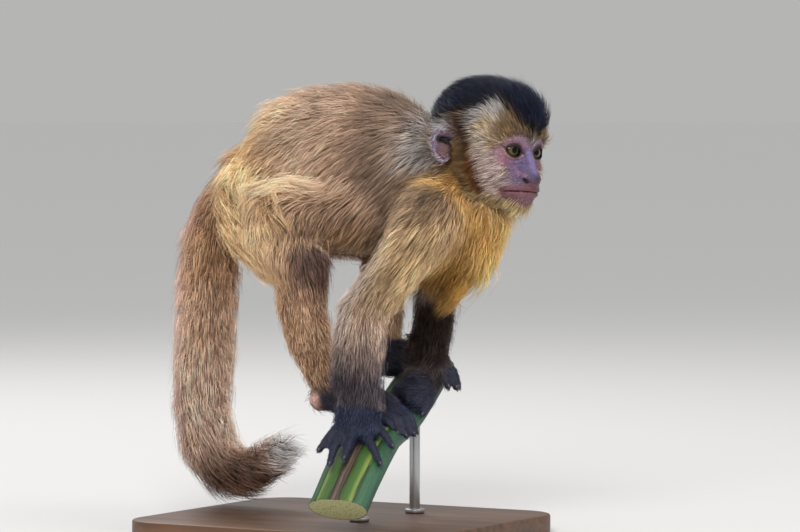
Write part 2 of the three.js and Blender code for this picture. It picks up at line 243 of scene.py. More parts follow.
def soften(values, triangles, passes):
    """Evens values out over a mesh by averaging the neighbours of each point."""
    ends = np.concatenate((triangles[:, (0, 1)], triangles[:, (1, 2)], triangles[:, (2, 0)]))
    ends = np.concatenate((ends, ends[:, ::-1]))
    count = len(values)
    degree = np.maximum(np.bincount(ends[:, 0], minlength=count), 1)[:, None]
    flat = values.reshape(count, -1).astype(np.float64)
    for _ in range(passes):
        flat = np.stack([np.bincount(ends[:, 0], c[ends[:, 1]], count) for c in flat.T], axis=1) / degree
    return flat.reshape(values.shape)


# ---------------------------------------------------------------- solid shapes as distances


def ball(p, centre, radius):
    return np.linalg.norm(p - np.asarray(centre, np.float32), axis=-1) - radius


def egg(p, centre, radii):
    radii = np.asarray(radii, np.float32)
    q = (p - np.asarray(centre, np.float32)) / radii
    near = np.linalg.norm(q, axis=-1)
    return near * (near - 1) / np.maximum(np.linalg.norm(q / radii, axis=-1), 1e-6)


def rod(p, start, end, first=0, last=0):
    """A rod with round ends that tapers from one radius to the other, or the distance to a line."""
    start, end = np.asarray(start, np.float32), np.asarray(end, np.float32)
    along = end - start
    t = np.clip((p - start) @ along / (along @ along), 0, 1)
    return np.linalg.norm(p - start - t[:, None] * along, axis=-1) - (first + t * (last - first))


def merge(a, b, width):
    t = np.clip(0.5 + 0.5 * (b - a) / width, 0, 1)
    return b * (1 - t) + a * t - width * t * (1 - t)


def carve(a, b, width):
    """a with b cut away."""
    return -merge(-a, b, width)


def planes(*runs):
    """Grid planes from (start, end, step) runs that follow one another."""
    return np.concatenate([np.arange(*run) for run in runs])


def wrap(distance, *axes):
    """Points and quads of the surface where a distance is zero, on a grid with the given planes."""
    grid = np.stack(np.meshgrid(*axes, indexing="ij"), axis=-1).reshape(-1, 3).astype(np.float32)
    field = distance(grid).reshape([len(axis) for axis in axes])
    inside = field < 0
    size = [n - 1 for n in field.shape]
    corners = [(i, j, k) for i in (0, 1) for j in (0, 1) for k in (0, 1)]
    windows = [tuple(slice(c, c + n) for c, n in zip(corner, size)) for corner in corners]
    count = sum(inside[window].astype(np.int8) for window in windows)
    live = np.argwhere((count > 0) & (count < 8))
    index = np.full(size, -1, np.int64)
    index[tuple(live.T)] = np.arange(len(live))

    total, hits = np.zeros((len(live), 3)), np.zeros(len(live))
    for start in corners:
        for axis in np.flatnonzero(np.array(start) == 0):
            at = live + start
            to = at + np.eye(3, dtype=int)[axis]
            here, there = field[tuple(at.T)], field[tuple(to.T)]
            crossed = (here < 0) != (there < 0)
            t = np.where(crossed, here / np.where(crossed, here - there, 1), 0)
            spot = np.stack([axes[a][at[:, a]] for a in range(3)], axis=1).astype(float)
            spot[:, axis] += t * (axes[axis][to[:, axis]] - axes[axis][at[:, axis]])
            total += np.where(crossed[:, None], spot, 0)
            hits += crossed

    quads = []
    for axis in range(3):
        low, high = [slice(1, -1)] * 3, [slice(1, -1)] * 3
        low[axis], high[axis] = slice(0, -1), slice(1, None)
        below, above = inside[tuple(low)], inside[tuple(high)]
        spots = np.argwhere(below != above)
        leaving = below[tuple(spots.T)]
        u, v = np.eye(3, dtype=int)[[(axis + 1) % 3, (axis + 2) % 3]]
        spots += u + v
        ring = [index[tuple((spots - du * u - dv * v).T)] for du, dv in ((1, 1), (0, 1), (0, 0), (1, 0))]
        quad = np.stack(ring, axis=1)
        quads.append(np.where(leaving[:, None], quad, quad[:, ::-1]))
    return total / hits[:, None], np.concatenate(quads)


def settle(points, distance):
    """Moves points onto the surface where a distance is zero."""
    step = 0.05 * np.eye(3)
    here, *around = (distance((points + e).astype(np.float32)) for e in (np.zeros(3), *step, *-step))
    slope = np.stack([after - before for after, before in zip(around[:3], around[3:])], axis=1) / 0.1
    length = np.maximum((slope**2).sum(1), 0.25)
    return points - slope * np.clip(here / length, -0.5, 0.5)[:, None]


# ---------------------------------------------------------------- the head


def lid_opening(p):
    """How far a point is outside the opening of the left eye's lids, and its place across it."""
    q = p - EYE_AT.astype(np.float32)
    turn, tilt = math.radians(12), math.radians(9)
    ahead = q[:, 0] * math.cos(turn) + q[:, 1] * math.sin(turn)
    out = -q[:, 0] * math.sin(turn) + q[:, 1] * math.cos(turn)
    across = out * math.cos(tilt) + q[:, 2] * math.sin(tilt)
    above = -out * math.sin(tilt) + q[:, 2] * math.cos(tilt)
    arch = np.sqrt(np.clip(1 - (across / 7.4) ** 2, 0, 1)) ** 1.3
    edge = np.maximum(above - 4.4 * arch, -above - 4.0 * arch)
    return np.maximum(edge, np.abs(across) - 7.2), above, ahead


def mouth_height(x):
    return -19.4 - 3.2 * np.clip((60 - x) / 18, 0, 1.2)


def head_distance(p):
    """Distance to the skin of the head in its own axes, without the ears."""
    q = p.copy()
    q[:, 1] = np.abs(q[:, 1])
    x, y, z = q.T
    d = egg(q, (6, 0, 23), (42, 33, 30))  # braincase
    d = merge(d, egg(q, (20, 0, 3), (26.5, 28.5, 19)), 8)  # face at the level of the eyes
    d = merge(d, egg(q, (3, 0, 4), (30, 29.5, 24)), 8)  # side of the head at the ears
    d = merge(d, egg(q, (19, 0, -13), (27, 25, 20)), 9)  # jaw
    d = merge(d, rod(q, (36, 18, -5), (16, 25, -4), 7.0, 7.0), 10)  # cheekbone
    d = merge(d, egg(q, (40, 0, -19), (16.2, 16.5, 13.5)), 7)  # muzzle
    d = merge(d, ball(q, (47.4, 0, -26.8), 8.0), 6)  # chin
    d = merge(d, rod(q, (44.5, 4, 17), (38, 20, 16), 3.8, 4.2), 7)  # brow
    d = carve(d, ball(q, (49.4, 14.5, 5.2), 8.3), 5)  # eye socket
    d = merge(d, rod(q, (41.5, 0, 14), (44.4, 0, 1), 5.8, 6.4), 4)  # bridge of the nose
    d = merge(d, rod(q, (44.4, 0, 1), (53.6, 0, -9.4), 6.4, 6.6), 5)
    d = merge(d, rod(q, (48.6, 0, -16.5), (46.5, 9, -17), 7.9, 6.6), 4)  # upper lip
    d = merge(d, ball(q, (53.4, 6.4, -10.8), 4.1), 2.2)  # wing of the nose
    d = merge(d, egg(q, (56.2, 0, -11.4), (4.6, 5.4, 4.2)), 2.2)  # tip of the nose

    front = ramp(40.5, 47, x)
    above = z - mouth_height(x)
    d -= front * (0.7 * hump(above, 1.6, 1.4) + 1.0 * hump(above, -2.1, 1.8))  # lips
    seam = np.maximum(np.abs(above) - 0.25, 42.5 - x)
    d = carve(d, np.maximum(seam, -d - 1.6 * ramp(42, 47, x)), 0.6)
    d += 0.35 * front * hump(y, 0, 1.2) * ramp(-19, -16, z) * (1 - ramp(-15, -12, z))
    d += 0.55 * hump(rod(q, (53, 11.2, -10), (44, 16.5, -19)), 0, 1.3)  # fold beside the nose
    d -= 0.5 * hump(rod(q, (50, 13, -10), (40, 20, -17)), 0, 2.8)

    gap, rise, ahead = lid_opening(q)
    eye = np.linalg.norm(q - EYE_AT.astype(np.float32), axis=-1)
    d = merge(d, eye - (EYE_RADIUS + 1.1), 3.6)  # lids over the eyeball
    before = ramp(-1, 3, ahead)
    upper, lower = ramp(-1, 2, rise), ramp(1, -2, rise)
    d += before * (0.55 * hump(gap, 3.0, 0.7) * upper + 0.4 * hump(gap, 2.6, 0.7) * lower)  # lid folds
    d -= before * 0.5 * hump(gap, 5.0, 1.2) * lower  # soft bag below the eye
    d = carve(d, np.maximum(gap, 2 - ahead), 0.7)
    rim = np.sqrt(gap**2 + (eye - EYE_RADIUS - 0.75) ** 2) - 0.75
    d = merge(d, np.maximum(rim, 1 - ahead), 0.8)

    d += 0.5 * hump(rod(q, (51.5, 9.5, -6.5), (49.0, 10.2, -13.5)), 0, 1.1)  # crease behind the wing
    d = carve(d, rod(q, *NOSTRIL), 0.5)
    creases = np.sin(1.9 * z + 1.1 * np.sin(0.45 * y)) * np.sin(0.7 * y + 0.5 * z)
    return d + 0.11 * creases * ramp(34, 40, x) * ramp(1.5, 3.5, gap)


def ear_frame(p):
    """A point's place on the left ear: backward across it, up it, and out from it."""
    q = p - EAR_AT.astype(np.float32)
    back = -q[:, 0] * math.cos(EAR_FLARE) + q[:, 1] * math.sin(EAR_FLARE)
    out = q[:, 0] * math.sin(EAR_FLARE) + q[:, 1] * math.cos(EAR_FLARE)
    return back, q[:, 2], out


def ear_hollow(back, up):
    """How far a place on the ear is from the two lines of its hollow: the upper one and the front one."""
    flat = np.stack((back, up, np.zeros_like(up)), axis=-1)
    return rod(flat, (5.0, 2.6, 0), (-5.0, 1.2, 0)), rod(flat, (-5.0, 1.2, 0), (-6.6, -7.0, 0))


def ear_distance(p):
    """Distance to the skin of the left ear in the head's axes."""
    back, up, out = ear_frame(p)
    width = np.where(back > 0, 11.4, 8.8) - 1.3 * ramp(0, -14, up)
    reach = np.sqrt((back / width) ** 2 + (up / 14.4) ** 2)
    upper, front = ear_hollow(back, up)
    hollow = np.minimum(upper / (1.5 + 1.1 * ramp(5, -6, back)), front / 3.0)
    bowl = -1.9 * (1 - reach**2)
    concha = -5.2 * np.exp(-(hollow**2)) * ramp(7, -4, back)
    lobe = 1.5 * np.exp(-(((back + 0.6) / 4.2) ** 2) - ((up + 6.0) / 4.6) ** 2)
    fold = 1.5 * np.exp(-(((np.hypot(back + 1.5, (up + 1.0) * 0.85) - 7.6) / 1.4) ** 2)) * ramp(-8, 1, back)
    helix = 1.9 * ramp(0.80, 0.95, reach) * ramp(-7, -2, back)
    sunk = -3.0 * ramp(-4, -9, back)
    grain = 0.16 * np.sin(1.7 * up + 0.5 * back)
    sheet = out - (bowl + concha + lobe + fold + helix + sunk + grain)
    thick = 0.9 + 0.3 * ramp(0.80, 0.95, reach)
    edge = (reach - 1 - 0.03 * np.sin(3 * np.arctan2(up, back) + 0.6)) * 11.4
    plate = carve(np.abs(sheet) - thick, -edge, 1.5)
    plate = carve(plate, np.maximum(back + 7.4, np.abs(up + 3.0) - 5.5), 1.0)
    root = rod(p, (6, 24, 1), (3.0, 29.0, 0.5), 7.5, 3.6)
    return carve(merge(plate, root, 3), rod(p, *EAR_CANAL, 2.8, 2.0), 1.5)


def head_shell():
    """The head's skin, on a grid that is fine over the face."""
    side = planes((0.31, 26, 0.62), (26, 38, 1.6))
    xs, zs = planes((-40, 24, 2.2), (24, 64, 0.62)), planes((-40, 22, 0.62), (22, 58, 2.0))
    points, quads = wrap(head_distance, xs, np.concatenate((-side[::-1], side)), zs)
    points = settle(points, head_distance)
    shell = new_piece("head_shell", from_head(points), quads)
    x, y, z = points.T
    bare = ramp(26, 32, x) * (1 - ramp(17, 21, z)) * (1 - ramp(20, 25, np.abs(y)))
    thin_out(shell, 1 - bare, 0.55)
    return shell


def ear_shell(side):
    ys = np.arange(14, 50, 0.62)
    points, quads = wrap(
        lambda p: ear_distance(p * np.array((1, side, 1), np.float32)),
        np.arange(-17, 17, 0.7),
        ys if side > 0 else -ys[::-1],
        np.arange(-14, 24, 0.7),
    )
    return new_piece("ear_shell", from_head(points), quads)


# ---------------------------------------------------------------- the body under the coat

# How deep the coat is over each part of the body and each filling, in millimetres.
COAT_DEPTH = {
    "core": 13.5, "neck": 8.5, "chest": 7.5, "abdomen": 7.5, "pelvis": 5.5, "fold": 7.0, "tail": 4.6,
    "upper_arm": 6.0, "forearm": 4.2, "hand": 1.7, "thigh": 6.0, "shank": 4.2, "foot": 1.7, "digit": 0.35,
}
SWELL, DIGIT_SWELL = 0.45, -0.4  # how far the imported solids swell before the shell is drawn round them
ON_HEAD, ON_EAR = 0.35, 0.3  # how near the skin is to the head's and the ears' own shapes where it is theirs


def part_of(node):
    """A node's part of the body: its name without its side or number."""
    if node in DIGITS:
        return "digit"
    return "_".join(word for word in node.split("_") if word not in SIDES and not word.isdigit())


def node_shape(name):
    """A node's points and triangles, each point once."""
    points, faces = points_of(NODES[name].data), triangles_of(NODES[name].data)
    points, merged = np.unique(np.round(points, 3), axis=0, return_inverse=True)
    faces = merged.reshape(-1)[faces]
    return points, faces[(faces != np.roll(faces, 1, axis=1)).all(1)]


def core_shape():
    """A plain filling for the head and the neck, which ties the two together."""

    def distance(p):
        skull = egg(p, (6, 0, 12), (42, 33, 44))
        nape = rod(p, (0, 0, -6), (-48, 10, -20), 38, 37)
        throat = rod(p, (12, 0, -27), (-38, 8, -44), 25, 36)
        return merge(skull, merge(nape, throat, 8), 6)

    points, quads = wrap(distance, *[np.arange(-92, 62, 3.0)] * 3)
    return from_head(points), halved(quads)


def fold_shape(side):
    """The fold of skin between a flank and its thigh."""
    points, quads = wrap(
        lambda p: rod(p, (-12, side * 38, 46), (-62, side * 60, 40), 14, 23),
        *(np.arange(*run, 3.0) for run in ((-90, 8), (-90, 90), (10, 70))),
    )
    return points + AIM, halved(quads)


class Flesh:
    """The body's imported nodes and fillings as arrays, and a search tree that knows whose each triangle is."""

    def __init__(self):
        folds = {f"fold_{word}": partial(fold_shape, side) for word, side in SIDES.items()}
        fillings = {"core": core_shape, **folds}
        self.names = [*fillings, *BODY]
        points, triangles, owners, start = [], [], [], 0
        for number, name in enumerate(self.names):
            own, faces = fillings[name]() if name in fillings else node_shape(name)
            swell = DIGIT_SWELL if name in DIGITS else SWELL
            points.append(own + swell * normals_of(own, faces))
            triangles.append(faces + start)
            owners.append(np.full(len(faces), number))
            start += len(own)
        self.points, self.triangles = np.concatenate(points), np.concatenate(triangles)
        self.owners = np.concatenate(owners)
        self.tree = BVHTree.FromPolygons(self.points.tolist(), self.triangles.tolist())

    def nearest(self, points):
        """The number in names of the node nearest to each point."""
        return np.array([self.owners[self.tree.find_nearest(p)[2]] for p in points.tolist()])


def body_shell(flesh, voxel):
    """One closed mesh round the body, drawn in by the depth of the coat."""
    shell = new_piece("body_shell", flesh.points, flesh.triangles)
    only(shell)
    shell.data.remesh_voxel_size = voxel * MM
    bpy.ops.object.voxel_remesh()
    points, triangles = points_of(shell.data), triangles_of(shell.data)
    depth = np.array([COAT_DEPTH[part_of(name)] for name in flesh.names])[flesh.nearest(points)]
    depth = soften(depth, triangles, 14)
    bare = 1 - ramp(1.9, 3.4, depth)[:, None]
    points = soften(points, triangles, 3)
    for _ in range(4):
        points = points - normals_of(points, triangles) * depth[:, None] / 4
        points = points * bare + soften(points, triangles, 8) * (1 - bare)
    move_points(shell, points)
    thin_out(shell, ramp(1.0, 3.0, depth), 0.24)
    return shell


class Skin:
    """The finished skin as arrays: its points, their places on the head, and the node and part each is of."""

    def __init__(self, obj):
        self.points, self.triangles = points_of(obj.data), triangles_of(obj.data)
        self.normals = normals_of(self.points, self.triangles)
        self.names = [*BODY, "head", "ear_right", "ear_left"]
        flesh = Flesh()
        whose = {"core": "neck", "fold_right": "abdomen", "fold_left": "abdomen"}
        order = np.array([self.names.index(whose.get(name, name)) for name in flesh.names])
        self.owner = order[flesh.nearest(self.points)]
        head = to_head(self.points).astype(np.float32)
        self.head = head.astype(float)
        on_head = np.abs(head_distance(head)) < ON_HEAD
        self.owner[on_head] = self.names.index("head")
        self.heel = np.zeros(len(self.points))
        for word, side in SIDES.items():
            q = head * np.array((1, side, 1), np.float32)
            on_ear = (np.abs(ear_distance(q)) < ON_EAR) & (q[:, 1] > 26)
            self.owner[on_ear & ~on_head] = self.names.index(f"ear_{word}")
        self.region = np.array(self.names, dtype=object)[self.owner]
        self.part = np.array([part_of(name) for name in self.names], dtype=object)[self.owner]
        for word, side in SIDES.items():
            heel_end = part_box(f"foot_{word}")[0][0] / MM
            self.heel += (self.region == f"foot_{word}") * ramp(18, 10, self.points[:, 0] - heel_end)
            self.region[(self.region == "head") & (self.head[:, 1] * side >= 0)] = f"head_{word}"

    def over(self, passes, *parts):
        """1 on these parts, with edges that more passes soften."""
        return soften(np.isin(self.part, parts).astype(float), self.triangles, passes)


# ---------------------------------------------------------------- how the coat grows


def middle(name):
    low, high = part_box(name)
    return (np.array(low) + np.array(high)) / 2 / MM


def long_axis(name):
    """The direction a node is longest in."""
    points = node_shape(name)[0]
    return np.linalg.svd(points - points.mean(0), full_matrices=False)[2][0]


TRUNK_LIE = {
    "chest": (-1.0, 0, -0.25),
    "abdomen": (-1.0, 0, -0.25),
    "pelvis": (-0.85, 0, -0.5),
    "neck": (-0.75, 0, -0.65),
}


def lie_of(name):
    """The way that the hairs of a node point, root to tip."""
    part = part_of(name)
    if part in TRUNK_LIE:
        return unit(np.array(TRUNK_LIE[part]))
    if part in ("head", "ear"):
        return HEAD_AXES @ np.array((-1.0, 0, -0.2))
    if part == "tail":
        number = int(name[-1])
        return unit(middle(f"tail_{min(number + 1, 5)}") - middle(f"tail_{max(number - 1, 1)}"))
    side = "right" if "right" in name else "left"
    if part in ENDS:
        return unit(middle(f"{ENDS[part][2]}_{side}_{part}") - middle(name))
    if part == "digit":
        ahead = middle(name) - middle(f"{name.split('_')[-1]}_{side}")
    else:
        limb = ARM if part in ARM else LEG
        ahead = middle(f"{limb[limb.index(part) + 1]}_{side}") - middle(name)
    axis = long_axis(name)
    return axis * np.sign(axis @ ahead)


# Each part's hairs: length, lift from the skin in degrees, width, how many to a square millimetre,
# and the colours at their roots and tips.
HAIRS = {
    "head": (9.0, 30, 0.38, 1.3, "#7a5c40", "#c09a6c"),
    "ear": (6.0, 45, 0.20, 0.30, "#cfc6c6", "#f0ece8"),
    "neck": (21.0, 25, 0.44, 0.95, "#9a7040", "#f0bc70"),
    "chest": (24.0, 24, 0.43, 0.92, "#947060", "#ecc4a4"),
    "abdomen": (24.0, 27, 0.44, 0.90, "#b68c74", "#ffe2c6"),
    "pelvis": (25.0, 30, 0.44, 0.90, "#a07a54", "#f6cc98"),
    "upper_arm": (19.0, 24, 0.42, 0.95, "#927452", "#eeca9a"),
    "forearm": (15.0, 24, 0.38, 1.05, "#84695c", "#ecccb8"),
    "hand": (8.0, 25, 0.32, 1.00, "#090b14", "#485272"),
    "digit": (3.6, 18, 0.24, 0.85, "#0b0d18", "#505a7e"),
    "thigh": (19.0, 24, 0.45, 0.88, "#a27a58", "#f8cc9c"),
    "shank": (15.0, 23, 0.40, 1.00, "#87664c", "#ecc09a"),
    "foot": (8.0, 25, 0.32, 0.95, "#111118", "#504f60"),
    "tail": (20.0, 38, 0.42, 1.00, "#88654e", "#f2c6a6"),
}


CLUMP_SEED = 11


class Growth:
    """What the coat is like at every point of the skin."""

    def __init__(self, skin):
        rows = [HAIRS[part_of(name)] for name in skin.names]
        sizes = np.array([row[:4] for row in rows])[skin.owner]
        self.length, self.lift, self.width, self.density = sizes.T.copy()
        self.root, self.tip = (np.array([linear(row[k]) for row in rows])[skin.owner] for k in (4, 5))
        self.lie = np.array([lie_of(name) for name in skin.names])[skin.owner]
        for key, passes in {"lie": 26, "length": 10, "lift": 10, "width": 10, "root": 22, "tip": 22}.items():
            setattr(self, key, soften(getattr(self, key), skin.triangles, passes))
        self.mark_body(skin)
        self.mark_head(skin)
        self.lie -= (self.lie * skin.normals).sum(1)[:, None] * skin.normals
        self.lie = unit(soften(unit(self.lie), skin.triangles, 2))

    def tint(self, *rows):
        """Turns the coat towards other pairs of colours, by these amounts."""
        for amount, root, tip in rows:
            amount = np.clip(amount, 0, 1)
            self.root = blend(self.root, linear(root), amount)
            self.tip = blend(self.tip, linear(tip), amount)

    def mark_body(self, skin):
        x, y, z = (skin.points - AIM).T
        front, _, up = skin.normals.T
        trunk, shoulder = skin.over(8, "chest", "abdomen", "pelvis", "neck"), skin.over(6, "neck", "chest")
        collar, rump, haunch = (skin.over(6, part) for part in ("neck", "pelvis", "thigh"))
        arm, wrist, back_of_hand = skin.over(4, "upper_arm"), skin.over(3, "forearm"), skin.over(3, "hand")
        elbow, knee = skin.over(3, "forearm", "upper_arm"), skin.over(3, "thigh", "shank")
        far_arm = soften((skin.region == "forearm_left").astype(float), skin.triangles, 3)
        tail = skin.over(0, "tail")
        self.tint(
            (0.6 * trunk * hump(y, 0, 17) * ramp(0.2, 0.8, up), "#70503c", "#b58d74"),  # line down the back
            (0.6 * trunk * ramp(-0.1, -0.75, up), "#8a683f", "#dcb47c"),  # paler belly
            (0.8 * shoulder * ramp(-35, 10, x), "#4e423c", "#94806f"),  # painted shade: greyer and darker over the shoulders
            (0.9 * trunk * ramp(8, 60, x) * ramp(70, 20, z), "#8e5e20", "#eeb458"),  # golden chest
            (0.8 * trunk * ramp(56, 88, x) * ramp(66, 40, z), "#b88648", "#ffdc98"),  # straw down its front
            (0.85 * collar * ramp(30, 56, x) * ramp(86, 66, z), "#d89448", "#ffce80"),  # gold under the ear
            (0.75 * shoulder * ramp(12, 40, x) * ramp(68, 84, z), "#6a6462", "#ece8e8"),  # whitish nape
            (0.75 * trunk * hump(x, -80, 48) * hump(z, 36, 36), "#c8946a", "#ffdab0"),  # paler straw over the flank: partly its own colour, partly painted light
            (0.5 * trunk * hump(x, -22, 32) * hump(z, 42, 22), "#5c4632", "#a0785a"),  # painted shade, browner, on the belly's side before it
            # painted shade: darker over the top of the upper arm, as over the shoulders
            (0.7 * arm * ramp(22, 55, z), "#665448", "#b2957c"),
            (0.7 * elbow * hump(z, -14, 36) * ramp(0.5, -0.5, front), "#947e74", "#fff0e6"),
            (0.5 * wrist * ramp(-20, -54, z), "#655650", "#b09c92"),
            (0.95 * wrist * ramp(-40, -82, z), "#1d1b25", "#4b4757"),
            (0.6 * back_of_hand * ramp(-106, -90, z), "#1b1923", "#5f5a68"),  # the wrist's last hairs
            # darker far forearm: partly its dark fur, partly painted shade
            (0.95 * far_arm * ramp(20, -25, z), "#1c140f", "#42322a"),
            (0.7 * rump * ramp(-92, -125, x), "#8a6440", "#dcae7c"),  # deeper gold round the rump
            (0.7 * haunch * ramp(-8, 26, z) * ramp(0.7, -0.4, front), "#b48458", "#fcd2a0"),
            # dark front of the knee: partly the leg's darker fur, partly painted shade
            (1.3 * knee * hump(z, 6, 27) * ramp(-0.4, 0.5, front), "#2c1f20", "#624a4a"),
            (0.6 * knee * hump(z, -35, 34), "#9a7458", "#ffd0ac"),
            (0.7 * knee * ramp(-78, -108, z), "#3a3030", "#7c6a66"),
            (0.6 * tail * ramp(-30, 10, z), "#7a5430", "#d8a878"),
            (0.85 * tail * hump(z, -114, 56), "#c09680", "#fcdcc6"),
            (0.7 * tail * ramp(0.1, -0.9, front), "#5c403c", "#b08e82"),  # darker along its back: partly the tail's own darker upper side, partly painted shade
            (0.95 * tail * ramp(-132, -164, z), "#302018", "#6a4a3a"),
            (tail * ramp(-121, -107, x), "#8c8480", "#f4eeea"),  # grizzled tip
        )
        self.lift *= 1 + 0.5 * wrist * ramp(-30, -80, z)
        fringe = trunk * ramp(-0.35, -0.8, up)
        for where in (wrist * ramp(-50, -84, z), haunch * ramp(-12, 20, z), fringe):
            self.length *= 1 + 0.25 * where
        self.density *= 1 - 0.9 * skin.heel
        self.lie[:, 2] -= 0.75 * trunk * ramp(0.9, 0.1, up)
        chest_front = trunk * ramp(30, 58, x) * ramp(70, 30, z)
        rng = np.random.default_rng(CLUMP_SEED)
        for passes in (14, 60):  # small clumps of like hairs, then large ones
            clump = soften(rng.normal(0, 1, len(skin.points)), skin.triangles, passes)
            clump *= ~np.isin(skin.part, ("head", "ear")) / clump.std()
            clump = np.clip(clump, -2.5, 2.5)
            tone = np.exp(0.11 * clump)[:, None]
            self.root, self.tip = self.root * tone, self.tip * tone
            self.length *= 1 + 0.07 * clump
        self.lift *= np.exp(0.15 * clump)
        self.lift *= 1 - 0.45 * chest_front
        self.lie = unit(self.lie) + chest_front[:, None] * np.array((-0.15, 0, -1.2))

    def mark_head(self, skin):
        x, y, z = skin.head.T
        side = np.abs(y)
        mirror = np.stack((np.ones_like(y), np.sign(y), np.ones_like(y)), axis=1)

        def style(amount, lie=None, **values):
            """Combs the hairs towards a direction in the head's axes, mirrored, and changes their sizes."""
            if lie:
                share = amount[:, None]
                self.lie = self.lie * (1 - share) + (np.array(lie) * mirror @ HEAD_AXES.T) * share
            for key, value in values.items():
                setattr(self, key, getattr(self, key) * (1 - amount) + value * amount)

        near = skin.over(3, "head")
        cap = cap_edge(x, side, z)
        past_stripe = x - stripe_line(z)
        temple = near * ramp(20, 32, x) * ramp(8, 15, z)
        pale = near * ramp(2, 12, z) * ramp(9, 19, x) * ramp(-20, -5, cap)
        cheek = near * ramp(22, 30, x) * ramp(12, 4, z)
        jaw = near * ramp(-20, -29, z)
        stripe = near * hump(past_stripe, 0, 4.0) * ramp(-28, -20, z) * ramp(32, 26, z)
        band = near * hump(past_stripe, 10, 6.0) * ramp(-14, -4, z) * ramp(24, 14, z)
        on_cap = near * ramp(-0.8, 0.8, cap)
        bare = near * bareness(x, side, z)
        self.tint(
            (near, "#8a6a42", "#d6ae74"),  # golden brown at the back of the cheeks
            (temple, "#8a745c", "#dcc4a4"),  # tan above the eyes
            (pale, "#4c4644", "#e2dcd8"),  # pale beside the cap, and down the temple
            (0.8 * band, "#8c8078", "#f2e8de"),
            (0.9 * near * ramp(34, 40, x) * ramp(12, 17, z), "#4a3420", "#947448"),  # dark over the brow
            (cheek, "#a08078", "#f4e0d4"),
            (jaw, "#a0804c", "#ecd5a4"),
            (1.6 * stripe, "#3a1e06", "#80480e"),  # dark sideburn
            (0.95 * near * ramp(14, 6, x) * ramp(12, 2, z), "#b87830", "#ffc068"),  # gold below the ear
            (0.9 * near * ramp(6, -4, x) * ramp(-4, 6, z), "#716a68", "#d6d0cc"),  # whitish behind it
            # blue-black cap: black hairs, with a painted blue sheen
            (on_cap, "#04060c", "#121b34"),
            (0.75 * on_cap * hump(cap, 1.5, 3.0), "#0e0906", "#2c1d14"),
            (0.5 * bare, "#54445a", "#a08ca4"),
        )
        style(near, (-0.9, 0.1, -0.45), length=12.0, width=0.36, density=1.35)
        style(temple, (-0.75, 0.1, 0.6))
        style(cheek, (-0.75, 0.55, -0.45), length=11.0, width=0.24, lift=27.0)
        style(jaw, (-0.5, 0.1, -0.85), length=14.0)
        style(stripe, (-0.45, 0, -0.9))
        style(near * ramp(12, 4, x), length=17.0)
        style(on_cap, (-0.8, 0.05, 0.35), length=11.5 + 4.5 * ramp(15, 35, x))
        style(on_cap, lift=56.0, width=0.36, density=1.7)

        back, up, _ = ear_frame(np.stack((x, side, z), axis=1).astype(np.float32))
        at_ear = near * ramp(1.1, 0.75, np.hypot((back + 8) / 13, up / 13)) * ramp(24, 27, side)
        style(at_ear, length=8.0)
        style(0.9 * at_ear, (-0.6, 0.4, -0.65))
        within = ramp(1.1, 0.9, np.hypot(back / 11, up / 13)) * ramp(-8.5, -6.5, back)
        self.density *= 1 - within * ramp(21, 24, side)
        style(bare, length=3.4, width=0.15, lift=22.0, density=0.7)
        style(near * ramp(0.55, 0.95, nakedness(x, side, z)), density=0.0)
        on_ear = skin.part == "ear"
        inside = np.hypot(back + 1, up * 0.8)
        self.density[on_ear] = (HAIRS["ear"][3] * ramp(6, 9.5, inside) * ramp(-5, -1, back))[on_ear]
        crest = on_ear * ramp(5, 10, up)
        style(crest, (-0.85, 0.25, 0.45), length=10.0)
        style(crest * ramp(8, 10, inside) * ramp(-7, -4, back), density=0.75)


def cap_edge(x, side, z):
    """How far inside the dark cap a place on the head is, in millimetres."""
    peak = np.interp(z, (17, 19.5, 23, 30.5, 40, 44.5), (-2, 2.8, 7.8, 15.2, 19.3, 22.0)) - side
    brim = z - np.interp(x, (-35, -10, 6.7, 21.5, 25.3, 29.5, 34), (14, 22, 28, 33.4, 37.8, 41.0, 52))
    return np.where((x > 29.5) & (z < 41.0), peak, np.maximum(peak * (x > 20), brim))


def stripe_line(z):
    """How far forward the dark sideburn runs at each height."""
    return np.interp(z, (-22, -4.6, 19.4, 30), (27.0, 24.5, 12.5, 2.0))


def bareness(x, side, z):
    """1 on the face, where the skin shows through short hairs."""
    eyes = ramp(13.5, 10.0, np.hypot(side - 11.5, (z - 6.5) * 1.05))
    muzzle = ramp(1.2, 0.86, np.hypot(side / 15.0, (z + 13) / 16.0))
    return ramp(33, 38, x) * np.maximum(eyes, muzzle)


def nakedness(x, side, z):
    """1 round the eyes, nose and lips, which have no hairs."""
    eyes = ramp(11.0, 8.5, np.hypot((side - 12) * 0.95, z - 6.2))
    nose = ramp(12.5, 9.5, np.hypot(side * 0.95, np.minimum(z + 6, 0) * 0.9))
    nose = nose * ramp(15, 10, z) * ramp(-28, -22, z)
    lips = ramp(5.5, 3.5, np.abs(z - mouth_height(x))) * ramp(40, 43, x)
    return np.maximum(np.maximum(eyes, nose), lips) * ramp(34, 39, x)


# ---------------------------------------------------------------- growing the tufts

